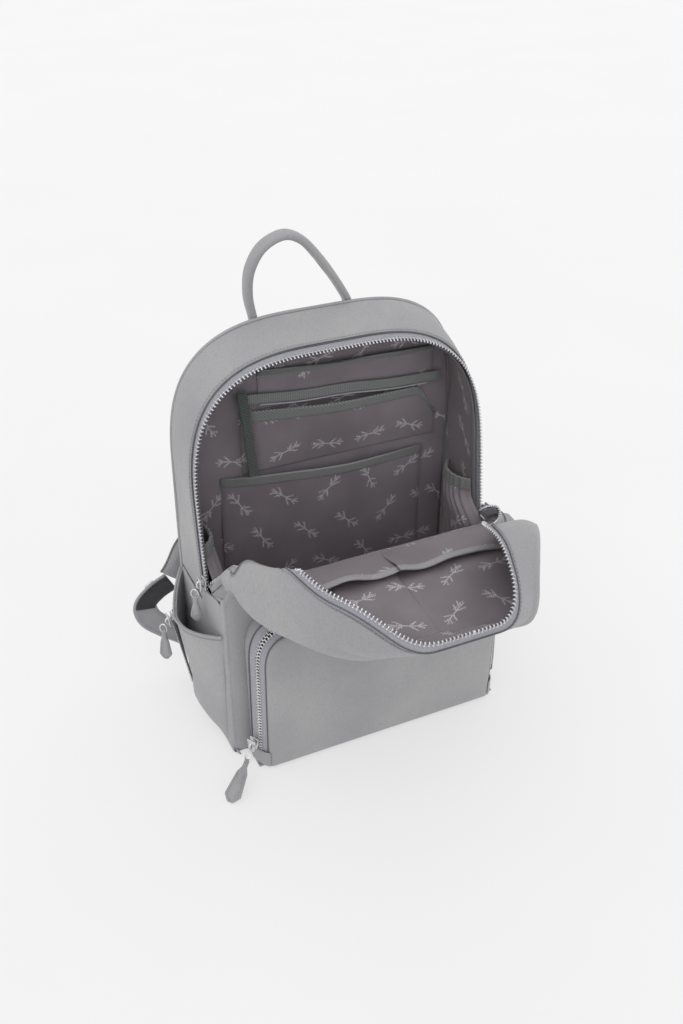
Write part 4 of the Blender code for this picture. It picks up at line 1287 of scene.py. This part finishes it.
def make_pocket_lid():
    inset = 0.0086
    width, height = POCKET_WIDTH - 2 * inset, POCKET_HEIGHT - inset
    levels, across = edged(0.16, 34, 0.014), edged(0.25, 40, 0.014)
    z = POCKET_FOOT - 0.0005 + (height - POCKET_FOOT) * levels
    half = half_width(np.minimum(z, height - 0.0004), width, height, POCKET_CORNER - inset)
    x = half[:, None] * (1 - 2 * across[None, :])
    gap = np.minimum(half[:, None] - np.abs(x), (height - z)[:, None])
    gap = np.minimum(gap, (z - z[0])[:, None] + 0.004)
    part = np.clip(gap / 0.0085, 0, 1)
    y = -0.0937 - 0.0050 * np.sqrt(1 - (1 - part) ** 2) - 0.0016 * smooth(gap, 0.005, 0.06)
    grid = np.stack([x, y, np.repeat(z[:, None], x.shape[1], axis=1)], axis=-1)
    grid[..., 1] += ripple(grid, 0.0007, 0.09, 51) * smooth(gap, 0.0, 0.02)
    lid = sheet_mesh("front_pocket_lid_leather", grid, SKIN, LEATHER, "front_lid")
    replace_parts(lid, "front_pocket_lid")
    ring = pocket_ring(inset + 0.0035)
    path = np.stack([ring[:, 0], np.full(len(ring), -0.0970), ring[:, 1]], axis=-1)
    facing = unit(np.stack([ring[:, 0] * 0, np.full(len(ring), -1.0), ring[:, 1] * 0], axis=-1))
    stitches("front_pocket_stitches", [(path[6:-6], facing[6:-6])], "front_lid")
    inner = grid[:, ::-1] + (0.0, 0.0028, 0.0)
    inner = inner * (0.975, 1.0, 0.98) + (0, 0, 0.002)
    cloth = np.stack([inner[..., 0], inner[..., 2], 0 * inner[..., 0]], axis=-1)
    piece = sheet_mesh("front_pocket_lid_lining", inner, 0.0008, PRINT, "front_lid", cloth)
    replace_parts(piece, "front_pocket_lining")
    section = resample(np.array(END_COVER_SECTION), np.linspace(0, lengths(np.array(END_COVER_SECTION))[-1], 16))
    heights = POCKET_FOOT + 0.017 * np.linspace(0, 1, 9)
    for side, word in SIDES:
        x = -(POCKET_WIDTH / 2 - section[:, 0])
        cover = np.stack(np.broadcast_arrays(x[None, :], section[None, :, 1], heights[:, None]), axis=-1)
        piece = sheet_mesh(f"zip_end_cover_{word}", sided(cover[:, ::-1], side), 0.0012, LEATHER, "bag")
        if side > 0:
            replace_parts(piece, "front_zip_end_tab")


END_COVER_SECTION = ((-0.0020, -0.0728), (-0.0016, -0.0768), (-0.0002, -0.0826), (0.0014, -0.0880), (0.0048, -0.0938),
                     (0.0092, -0.0976))


SIDE_FRONT_Y, SIDE_BACK_Y = low("side_pocket_left")[1], high("side_pocket_left")[1]
SIDE_FOOT_Z = low("side_pocket_left")[2]
SIDE_HEIGHT = high("side_pocket_left")[2] - SIDE_FOOT_Z
SIDE_BULGE = 0.023
SIDE_MIDDLE = (SIDE_FRONT_Y + SIDE_BACK_Y) / 2
SIDE_HALF = (SIDE_BACK_Y - SIDE_FRONT_Y) / 2
SIDE_ZIP_Y = 0.036


SIDE_BELLY = 0.009


def side_surface(across, up, out=0.0):
    """Left side pocket: across from -1 (front) to 1 (back), up from 0 to 1 at its rim."""
    falling, rising = 1 - 0.15 * (across + 1), 1 - 0.42 * (1 - across)
    rim = np.log(np.exp(30 * falling) + np.exp(30 * rising)) / 30 * SIDE_HEIGHT
    belly = SIDE_BELLY * smooth(up, 0.0, 0.14) * (1 - smooth(up, 0.14, 0.50))
    belly = belly * (1 - smooth(across, 0.02, 0.40))
    reach = (SIDE_BULGE * up + belly) * (1 - np.abs(across) ** 2.5)
    z = SIDE_FOOT_Z + up * rim
    x = -(HALF + 0.0012 + reach + out - floor_tuck(z))
    return np.stack([x, SIDE_MIDDLE + across * SIDE_HALF, z], axis=-1)


def make_side_pockets():
    for side, word in SIDES:
        across, up = np.meshgrid(2 * edged(0.12, 28) - 1, edged(0.128, 24), indexing="xy")
        grid = side_surface(across, up, 0.0016 * np.sin(np.pi * up))
        grid = grid + grid_normals(grid) * (ripple(grid, 0.0013, 0.06, 61) * np.sin(np.pi * (across + 1) / 2))[..., None]
        grid = sided(grid, side)
        borders = {"left": (SEAM_DEPTH, 0.004), "right": (SEAM_DEPTH, 0.004), "top": (0.0016, 0.004)}
        piece = sheet_mesh(f"side_pocket_leather_{word}", grid, 0.0022, LEATHER, "bag", sides=borders)
        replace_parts(piece, f"side_pocket_{word}")
        stitches(f"side_pocket_stitches_{word}", [near_edge_line(grid, "bottom", 0.0035)], "bag")
        rim = sided(side_surface(across[-1:], up[-1:], 0.0008), side)[0]
        tube_mesh(f"side_pocket_rim_{word}", rim, (1, 0, 0), 0.0013, 0.0013, LEATHER, "bag", 10)
        inner = side_surface(0.965 * across, 0.02 + 0.96 * up, -0.0018 + 0.0014 * np.sin(np.pi * up))
        inner = sided(inner, side)[:, ::-1]
        cloth = np.stack([inner[..., 1], inner[..., 2], 0 * inner[..., 0]], axis=-1)
        sheet_mesh(f"side_pocket_lining_{word}", inner, 0.0007, PRINT, "bag", cloth)
        make_side_zip(side, word)


def make_side_zip(side, word):
    centre = (SIDE_ZIP_Y - SIDE_MIDDLE) / SIDE_HALF
    up = np.linspace(0.10, 0.93, 60)

    def strip(offsets, out):
        across = np.array(offsets)[None, :] / SIDE_HALF + centre
        return side_surface(np.repeat(across, len(up), axis=0), np.repeat(up[:, None], len(offsets), axis=1), out)

    tape = sided(strip(np.linspace(-0.0052, 0.0052, 7), 0.0040), side)
    piece = sheet_mesh(f"side_zip_tape_{word}", tape, 0.0009, TAPE_CLOTH, "bag", strip_cloth(tape))
    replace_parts(piece, f"side_zip_{word}")
    for label, reach, start in (("front", 0.0006, 0.0), ("rear", -0.0006, PITCH / 2)):
        lines = strip((reach, -reach * 4), 0.0046) * (1 if side < 0 else -1, 1, 1)
        teeth(f"side_zip_teeth_{label}_{word}", lines[:, 0], lines[:, 1] - lines[:, 0], "bag", depth=0.0036, start=start)
        fold_line = strip((-reach * 9.2,), 0.0042)[:, 0] * (1 if side < 0 else -1, 1, 1)
        tube_mesh(f"side_zip_fold_{label}_{word}", fold_line, (1, 0, 0), 0.0008, 0.0008, EDGE, "bag", 8)


# ---- Inside pockets ----


def wall_pouch(name, x0, z0, width, height, bulge, node, seed, rim_drop, band, band_cloth, rounded=0.0):
    """A pocket on the back wall with a bound rim: puffs out towards its mouth."""
    inside_y = WALL_Y - 0.0042

    def surface(across, up, out):
        reach = bulge * up * (1 - np.abs(across) ** 2.5)
        drop = rim_drop * across * up - rounded * up * smooth(across, 0.70, 1.0) ** 1.6
        wave = 0.0016 * up * np.sin(across * 5.0 + seed) * (1 - across**2)
        return np.stack([x0 + across * width / 2, inside_y - reach - out - wave, z0 + up * (height + drop)], axis=-1)

    across, up = np.meshgrid(np.linspace(1, -1, 44), np.linspace(0, 1, 26), indexing="xy")
    grid = surface(across, up, 0.0)
    cloth = np.stack([grid[..., 0] + 0.02 * seed, grid[..., 2], 0 * grid[..., 0]], axis=-1)
    piece = sheet_mesh(f"{name}_cloth", grid, 0.0009, PRINT, "bag", cloth)
    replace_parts(piece, node)
    across, up = np.meshgrid(np.linspace(1, -1, 44), np.linspace(1 - band / height, 1.008, 6), indexing="xy")
    bound = surface(across, up, 0.0009)
    sheet_mesh(f"{name}_binding", bound, 0.0024, band_cloth, "bag", strip_cloth(bound))


def make_inside():
    wall_pouch("tablet_sleeve", 0.005, 0.020, 0.225, 0.215, 0.013, "inner_sleeve", 1, -0.006, 0.0070, BINDING)
    wall_pouch("mesh_pocket", 0.024, 0.242, 0.215, 0.064, 0.011, "inner_mesh_pocket", 2, -0.005, 0.0095, MESH, 0.034)
    wall_pouch("top_pocket", 0.030, 0.310, 0.190, 0.037, 0.006, "inner_top_pocket", 3, -0.004, 0.0040, BINDING)
    x = np.linspace(0.132, -0.082, 40)
    z = 0.3175 - 0.072 * (x - 0.024) + 0.0008 * np.sin(x * 60.0)
    y = WALL_Y - 0.0082 - 0.0015 * np.cos((x - 0.024) * 14.0)
    bands = np.linspace(-0.0055, 0.0045, 6)
    flat = np.stack([np.tile(x, (6, 1)), np.tile(y, (6, 1)), z + bands[:, None]], axis=-1)
    sheet_mesh("upper_pocket_band", flat, 0.0016, MESH, "bag", strip_cloth(flat))
    # A thin bead along the band's lower edge. Its pale tape colour is a painted highlight, not the band's own colour.
    edge = np.stack([x, y - 0.0012, z - 0.0058], axis=-1)[3:-3]
    tube_mesh("upper_pocket_edge", edge, (0, 1, 0), 0.0008, 0.0008, TAPE_CLOTH, "bag", 8)
    z = np.linspace(0.242, 0.336, 30)
    x = np.linspace(-0.0045, 0.0045, 6)[::-1] - 0.0795
    slant = -0.095 * (z - 0.289)
    bow = 0.0030 * np.sin(np.pi * np.linspace(0, 1, 30))
    strap = np.stack(np.broadcast_arrays(x[None, :] + slant[:, None], (WALL_Y - 0.0115 - bow)[:, None], z[:, None]), axis=-1)
    piece = sheet_mesh("elastic_loop", np.array(strap), 0.0016, ELASTIC, "bag", strip_cloth(np.array(strap)))
    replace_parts(piece, "elastic_strap")
    for side, word in SIDES:
        make_elastic_pocket(side, word)


def make_elastic_pocket(side, word):
    """A bottle pocket on the side wall, gathered into an elastic rim."""
    inset = HALF - 0.0062

    def surface(across, up, out):
        gathers = 0.0010 * np.sin(across * 24.0) * smooth(up, 0.25, 1.0) * (1 - across**4)
        reach = 0.016 * smooth(up, 0.0, 0.8) * (1 - 0.25 * smooth(up, 0.8, 1.0)) * (1 - np.abs(across) ** 2.5)
        x = -(inset - reach - out - gathers)
        z = 0.060 + up * 0.150
        front = -0.038 + (zip_y(z) + 0.050) * smooth(z, 0.165, 0.195)
        return np.stack([x, front + (0.050 - front) * (across + 1) / 2, z], axis=-1)

    across, up = np.meshgrid(np.linspace(1, -1, 70), np.linspace(0, 1, 28), indexing="xy")
    grid = surface(across, up, 0.0)
    cloth = np.stack([grid[..., 1], grid[..., 2], 0 * grid[..., 0]], axis=-1)
    grid = sided(grid, side)
    piece = sheet_mesh(f"bottle_pocket_{word}", grid, 0.0008, PRINT, "bag", cloth if side < 0 else cloth[:, ::-1])
    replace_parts(piece, f"elastic_pocket_{word}")
    across, up = np.meshgrid(np.linspace(1, -1, 70), np.linspace(0.93, 1.01, 6), indexing="xy")
    rim = sided(surface(across, up, 0.0008), side)
    sheet_mesh(f"bottle_pocket_elastic_{word}", rim, 0.0022, BINDING, "bag", strip_cloth(rim))


# ---- Handle and straps ----


def curve(points, count):
    """A smooth curve through given points."""
    points = np.asarray(points, float)
    padded = np.concatenate([[2 * points[0] - points[1]], points, [2 * points[-1] - points[-2]]])
    made = []
    for k in range(len(points) - 1):
        a, b, c, d = padded[k : k + 4]
        for t in np.linspace(0, 1, 16, endpoint=False):
            made.append(0.5 * (2 * b + (c - a) * t + (2 * a - 5 * b + 4 * c - d) * t**2 + (3 * b - a - 3 * c + d) * t**3))
    made.append(points[-1])
    made = np.array(made)
    return resample(made, np.linspace(0, lengths(made)[-1], count))


HANDLE_POINTS = ((-0.0595, 0.0795, 0.3900), (-0.0625, 0.0750, 0.4000), (-0.0675, 0.0720, 0.4235),
                 (-0.0665, 0.0680, 0.4485), (-0.0555, 0.0650, 0.4690), (-0.0360, 0.0630, 0.4785),
                 (-0.0185, 0.0630, 0.4720), (-0.0010, 0.0650, 0.4530), (0.0165, 0.0680, 0.4290),
                 (0.0320, 0.0745, 0.4055), (0.0375, 0.0795, 0.3940))


def make_handle():
    joint = np.array(joint_of["handle_fold"]["pos_m"])
    path = curve(HANDLE_POINTS, 110)
    inward = unit((joint[0], 0.068, 0.430) - path)
    swell = 1 + 0.10 * np.sin(np.pi * np.linspace(0, 1, len(path))) + ripple(path, 0.03, 0.03, 71)
    leather = tube_mesh("handle_leather", path, (0, 1, 0), 0.0037 * swell, 0.0068 * swell, LEATHER, None, 20, 0.7)
    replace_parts(leather, "top_handle")
    seam = (path + inward * 0.0036)[2:-2]
    edge = tube_mesh("handle_seam", seam, (0, 1, 0), 0.0008, 0.0014, EDGE, None, 8)
    runs = [((path + (0.0, flip * 0.0066, 0.0) + inward * 0.0012)[3:-3], np.tile((0.0, flip, 0.0), (len(path) - 6, 1)))
            for flip in (-1.0, 1.0)]
    for piece in (leather, edge, stitches("handle_stitches", runs, None)):
        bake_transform(piece)


STRAP_POINTS = ((0.050, 0.0795, 0.368), (0.056, 0.083, 0.330), (0.066, 0.087, 0.285), (0.080, 0.090, 0.235),
                (0.100, 0.093, 0.185), (0.125, 0.096, 0.145), (0.152, 0.097, 0.112))
WEB_POINTS = ((0.1580, 0.0970, 0.1085), (0.174, 0.097, 0.100), (0.187, 0.096, 0.087), (0.184, 0.093, 0.071),
              (0.170, 0.090, 0.057), (0.152, 0.0865, 0.044), (0.140, 0.0795, 0.036))


def flat_band(name, path, facing, half_wide, thick, material, body, steps=5):
    """A flat strap: its broad side faces one way all along its path."""
    tangent = unit(np.gradient(path, axis=0))
    across = unit(np.cross(tangent, facing))
    shares = np.linspace(-1, 1, steps)
    grid = path[:, None] + across[:, None] * (shares[None, :, None] * half_wide)
    normals = grid_normals(grid)
    return sheet_mesh(name, grid + normals * thick / 2, thick, material, body, strip_cloth(grid))


def make_straps():
    for side, word in SIDES:
        body = f"strap_{word}"
        turn = np.array((side, 1.0, 1.0))
        path = curve(np.array(STRAP_POINTS) * turn, 70)
        path = np.concatenate([path[:1] + (0, -0.004, 0.010), path])
        share = np.linspace(0, 1, len(path))
        wide = 0.0255 * (0.72 + 0.28 * smooth(share, 0.0, 0.16)) * (1 - 0.28 * smooth(share, 0.86, 1.0))
        thick = 0.0050 * (0.55 + 0.45 * smooth(share, 0.0, 0.10)) * (1 - 0.45 * smooth(share, 0.90, 1.0))
        tangent = unit(np.gradient(path, axis=0))
        broad = unit(np.array((1.0, 0.0, 0.35 * side)))
        broad = unit(broad - tangent * (tangent @ broad)[:, None])
        facing = unit(np.cross(tangent, broad))
        facing = facing * np.sign(facing[:, 1:2])
        pad = strap_pad(f"strap_pad_{word}", path, broad, facing, wide, thick, body)
        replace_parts(pad, f"shoulder_strap_{word}")
        runs = [(path + broad * (flip * (wide - 0.0042))[:, None] + facing * (thick * 0.52)[:, None], facing)
                for flip in (-1, 1)]
        stitches(f"strap_stitches_{word}", runs, body)
        for flip, label in ((-1, "inner"), (1, "outer")):
            edge = path + broad * (flip * wide)[:, None]
            tube_mesh(f"strap_edge_{label}_{word}", edge, (0, 1, 0), 0.0012, 0.0012, BINDING, body, 8)
        web = curve(np.array(WEB_POINTS) * turn, 60)
        facing_web = (0, side, 0)
        band = flat_band(f"strap_end_band_{word}", web, facing_web, 0.0118, 0.0024, LEATHER, None, 9)
        over = web[:22] + (0.0, -0.0022, 0.0)
        cover = flat_band(f"strap_web_{word}", over, facing_web, 0.0100, 0.0014, WEBBING, None)
        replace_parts(cover, f"strap_webbing_{word}")
        across = unit(np.cross(unit(np.gradient(web, axis=0)), facing_web))
        lines = [(web + across * flip * 0.0092 + (0.0, lift * 0.0013, 0.0), np.tile((0.0, lift, 0.0), (len(web), 1)))
                 for flip in (-1, 1) for lift in (-1.0, 1.0)]
        sewn = stitches(f"strap_end_stitches_{word}", [(line[23:-2], up[23:-2]) for line, up in lines], None)
        for piece in (band, cover, sewn):
            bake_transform(piece)
        upper = path[-16:] + facing[-16:] * (thick[-16:] + 0.0008)[:, None]
        flat_band(f"strap_web_upper_{word}", upper, facing[-1], 0.0100, 0.0014, WEBBING, body)
        make_adjuster(side, word, web, body)
        make_anchor(side, word)


def strap_pad(name, path, broad, facing, wide, thick, body):
    """A foam strap: flat sewn edges, full in the middle."""
    angle = np.linspace(0, math.tau, 28, endpoint=False)
    x = np.sign(np.cos(angle)) * np.abs(np.cos(angle)) ** 0.55
    flatness = 0.35 + 0.65 * smooth(1 - np.abs(x), 0.0, 0.30)
    y = np.sign(np.sin(angle)) * np.abs(np.sin(angle)) ** 0.5 * flatness
    count, sides = len(path), len(angle)
    puff = 1 + ripple(path, 0.06, 0.05, 77)
    rings = [path[k] + np.outer(x * wide[k], broad[k]) + np.outer(y * thick[k] * puff[k], facing[k]) for k in range(count)]
    points = np.concatenate(rings)
    faces = []
    for r in range(count - 1):
        for s in range(sides):
            n = (s + 1) % sides
            faces.append((r * sides + s, r * sides + n, (r + 1) * sides + n, (r + 1) * sides + s))
    faces.append(tuple(range(sides))[::-1])
    faces.append(tuple((count - 1) * sides + s for s in range(sides)))
    if np.dot(np.cross(broad[0], facing[0]), path[1] - path[0]) < 0:
        faces = [face[::-1] for face in faces]
    return build(name, points, faces, LEATHER, body)


def make_adjuster(side, word, web, body):
    """A three-bar slide on the webbing."""
    middle = (low(f"strap_adjuster_{word}") + high(f"strap_adjuster_{word}")) / 2
    where = np.argmin(np.linalg.norm(web - middle, axis=1))
    tangent = unit(web[where + 1] - web[where - 1])
    facing = np.array((0.0, 1.0, 0.0))
    across = unit(np.cross(tangent, facing))
    out = unit(np.cross(across, tangent)) * 0.0014
    spot = web[where] + out
    corners = [(-0.0125, -0.0055), (0.0125, -0.0055), (0.0125, 0.0055), (-0.0125, 0.0055)]
    loop = []
    for k, (a, t) in enumerate(corners):
        b, u = corners[(k + 1) % 4]
        loop += [spot + across * (a + (b - a) * s) + tangent * (t + (u - t) * s) for s in np.linspace(0.12, 0.88, 8)]
    piece = ring_mesh(f"strap_slide_{word}", np.array(loop), 0.0012, METAL, body)
    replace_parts(piece, f"strap_adjuster_{word}")
    bar = np.array([spot + across * a for a in np.linspace(-0.0120, 0.0120, 12)])
    tube_mesh(f"strap_slide_bar_{word}", bar, tuple(tangent), 0.0012, 0.0012, METAL, body, 10)


def make_anchor(side, word):
    box_low, box_high = low(f"strap_anchor_{word}"), high(f"strap_anchor_{word}")
    inner, outer = 0.105, 0.150
    outline = [(side * inner, box_low[2]), (side * outer, box_low[2]), (side * outer, box_high[2]),
               (side * (inner + 0.013), box_high[2])]
    centre = np.array(((inner + outer) / 2 * side, box_low[1] - 0.0002, (box_low[2] + box_high[2]) / 2))
    local = [(x - centre[0], z - centre[2]) for x, z in outline]
    piece = slab(f"strap_base_{word}", dense_outline(local, 0.002), 0.0038, 0.0009,
                 ((1, 0, 0), (0, 0, 1), (0, 1, 0)), centre, LEATHER, "bag")
    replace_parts(piece, f"strap_anchor_{word}")


# ---- Hardware ----


def ring_mesh(name, loop, radius, material, body, sides=10):
    """A closed round bar along a closed loop of points."""
    count = len(loop)
    tangent = unit(np.roll(loop, -1, axis=0) - np.roll(loop, 1, axis=0))
    normal = unit(np.cross(loop[0] - loop.mean(axis=0), tangent[0]))
    side = unit(np.cross(tangent, normal))
    angle = np.linspace(0, math.tau, sides, endpoint=False)
    rings = [loop[k] + radius * (np.outer(np.cos(angle), side[k]) + np.outer(np.sin(angle), normal)) for k in range(count)]
    faces = []
    for r in range(count):
        q = (r + 1) % count
        for s in range(sides):
            n = (s + 1) % sides
            faces.append((r * sides + s, q * sides + s, q * sides + n, r * sides + n))
    made = build(name, np.concatenate(rings), faces, material, body)
    return made


def rounded_outline(width, height, radius, steps=5):
    points = []
    for sx, sy, start in ((1, 1, 0.0), (-1, 1, 0.5), (-1, -1, 1.0), (1, -1, 1.5)):
        for angle in np.linspace(start * math.pi, (start + 0.5) * math.pi, steps):
            points.append((sx * (width / 2 - radius) + radius * math.cos(angle),
                           sy * (height / 2 - radius) + radius * math.sin(angle)))
    return points


def dense_outline(corners, radius, steps=4):
    """A polygon with its corners rounded."""
    corners = np.asarray(corners, float)
    points = []
    for k, corner in enumerate(corners):
        before = unit(corners[k - 1] - corner)
        after = unit(corners[(k + 1) % len(corners)] - corner)
        a, b = corner + before * radius, corner + after * radius
        for t in np.linspace(0, 1, steps):
            points.append(tuple((1 - t) ** 2 * a + 2 * t * (1 - t) * corner + t**2 * b))
    return points


def slab(name, outline, thick, bevel, axes, place, material, body):
    """A flat plate of the outline, with bevelled edges, on axes (x, y, out) at a place."""
    outline = np.asarray(outline, float)
    middle = outline.mean(axis=0)
    area = np.sum(outline[:, 0] * np.roll(outline[:, 1], -1) - np.roll(outline[:, 0], -1) * outline[:, 1])
    if area < 0:
        outline = outline[::-1]
    inner = outline + unit(middle - outline) * bevel
    axes = np.array(axes, float)
    rings = []
    for ring, height in ((inner, 0.0), (outline, bevel), (outline, thick - bevel), (inner, thick)):
        local = np.concatenate([ring, np.full((len(ring), 1), height)], axis=1)
        rings.append(local @ axes + place)
    count = len(outline)
    faces = []
    for r in range(3):
        for s in range(count):
            n = (s + 1) % count
            faces.append((r * count + s, r * count + n, (r + 1) * count + n, (r + 1) * count + s))
    faces.append(tuple(range(count))[::-1])
    faces.append(tuple(3 * count + s for s in range(count)))
    if np.linalg.det(axes) < 0:
        faces = [face[::-1] for face in faces]
    return build(name, np.concatenate(rings), faces, material, body)


def make_slider(name, centre, travel, out, body, node):
    """Zipper slider: two shield plates, a wedge between them and a bridge over the top."""
    travel, out = unit(travel), unit(out)
    out = unit(out - travel * np.dot(out, travel))
    across = np.cross(travel, out)
    axes = (across, travel, out)
    shield = [(-0.0052, 0.0070), (0.0052, 0.0070), (0.0052, 0.0010), (0.0032, -0.0072), (-0.0032, -0.0072), (-0.0052, 0.0010)]
    outline = dense_outline(shield, 0.0014)
    top = slab(f"{name}_plate", outline, 0.0014, 0.0004, axes, centre + out * 0.0016, METAL, body)
    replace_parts(top, node)
    slab(f"{name}_back_plate", outline, 0.0014, 0.0004, axes, centre - out * 0.0030, METAL, body)
    wedge = dense_outline([(-0.0012, 0.0044), (0.0012, 0.0044), (0.0012, -0.0005), (-0.0012, -0.0005)], 0.0005)
    slab(f"{name}_wedge", wedge, 0.0034, 0.0003, axes, centre - out * 0.0017, METAL, body)
    angle = np.linspace(0.0, math.pi, 14)
    arc = centre + out * 0.0026 + np.outer(np.cos(angle), travel) * 0.0036 + np.outer(np.sin(angle), out) * 0.0027
    tube_mesh(f"{name}_bridge", arc, tuple(across), 0.0009, 0.0012, METAL, body, 10)


def make_pull(name, top, along, across, length, half, body, node):
    """A wire ring and a stitched leather tab that hang from a slider."""
    along, across = unit(along), unit(across)
    normal = np.cross(across, along)
    angle = np.linspace(0, math.tau, 28, endpoint=False)
    middle = top + along * 0.0044
    loop = middle + np.outer(np.cos(angle), along) * 0.0050 + np.outer(np.sin(angle), across) * 0.0036
    ring_mesh(f"{name}_ring", loop, 0.00085, METAL, body)
    corners = [(-0.0022, 0.0070), (0.0022, 0.0070), (0.0024, 0.0150), (half * 0.66, 0.0215), (half, length * 0.87),
               (half * 0.34, length), (-half * 0.34, length), (-half, length * 0.87), (-half * 0.66, 0.0215), (-0.0024, 0.0150)]
    outline = dense_outline(corners, 0.0010)
    tab = slab(f"{name}_tab", outline, 0.0026, 0.0005, (across, along, normal), top - normal * 0.0013, LEATHER, body)
    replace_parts(tab, node)
    inset = [(x * 0.66, 0.0165 + (y - 0.0150) * 0.90) for x, y in corners[3:9]]
    line = curve([top + across * x + along * y + normal * 0.0014 for x, y in inset], 60)
    rear = curve([top + across * x + along * y - normal * 0.0014 for x, y in inset], 60)
    stitches(f"{name}_stitches", [(line, np.tile(normal, (60, 1))), (rear, np.tile(-normal, (60, 1)))], body,
             pitch=0.0026, length=0.0018, radius=0.00028)


def make_hardware():
    down = np.array((0.0, 0.0, -1.0))
    for side, word in SIDES:
        out = np.array((float(side), 0.0, 0.0))
        for kind in ("main", "side"):
            slide, swing = joint_of[f"{kind}_slider_{word}_slide"], joint_of[f"{kind}_pull_{word}_swing"]
            travel = np.array(slide["axis"]) * (1 if kind == "main" else -1)
            settle = -out * (0.0040 if kind == "side" else 0.0)
            across = (0.8, 0.6 * side, 0.0)
            centre = (low(f"{kind}_slider_{word}") + high(f"{kind}_slider_{word}")) / 2 + settle
            make_slider(f"{kind}_slide_{word}", centre, travel, out, f"{kind}_slider_{word}", f"{kind}_slider_{word}")
            reach = -low(f"{kind}_pull_{word}")[2] + swing["pos_m"][2]
            half = (high(f"{kind}_pull_{word}")[1] - low(f"{kind}_pull_{word}")[1]) / 2
            make_pull(f"{kind}_tag_{word}", np.array(swing["pos_m"]) + out * 0.0030 + settle, down, across, reach, half,
                      f"{kind}_pull_{word}", f"{kind}_pull_{word}")
    centre = (low("front_slider") + high("front_slider")) / 2
    out = unit((-0.86, -0.5, 0.0))
    make_slider("front_slide", centre, (0, 0, 1), out, "front_slider", "front_slider")
    swing = joint_of["front_pull_swing"]
    along = unit((-0.656, -0.580, -0.482))
    across = unit(np.cross(along, (0, 0, 1)))
    make_pull("front_tag", np.array(swing["pos_m"]) + (0.0, 0.0, 0.0013), along, across, 0.051, 0.0085, "front_pull",
              "front_pull")


# ---- Scene ----


def make_world():
    world = bpy.data.worlds.new("studio")
    bpy.context.scene.world = world
    world.use_nodes = True
    backdrop = world.node_tree.nodes["Background"]
    backdrop.inputs["Color"].default_value = (1.0, 1.0, 1.0, 1.0)
    backdrop.inputs["Strength"].default_value = WORLD_LIGHT
    mesh = bpy.data.meshes.new("floor")
    reach = 30.0
    mesh.from_pydata([(-reach, -reach, 0), (reach, -reach, 0), (reach, reach, 0), (-reach, reach, 0)], [], [(0, 1, 2, 3)])
    mesh.materials.append(floor_material())
    floor = bpy.data.objects.new("floor", mesh)
    bpy.context.scene.collection.objects.link(floor)
    make_light("key_light", (0.50, 0.62, -0.95), 0.62, 60.0)
    make_light("fill_light", (-0.75, 0.45, -0.60), 0.10, 90.0)
    make_light("top_light", (-0.05, -0.20, -1.0), 0.25, 80.0)
    bpy.context.scene.view_settings.view_transform = "Standard"


WORLD_LIGHT = 0.87

make_camera()
make_world()
make_body_leather()
make_back()
make_body_lining()
make_body_zipper()
make_base()
make_front()
make_flap()
make_front_pocket()
make_side_pockets()
make_inside()
make_handle()
make_straps()
make_hardware()
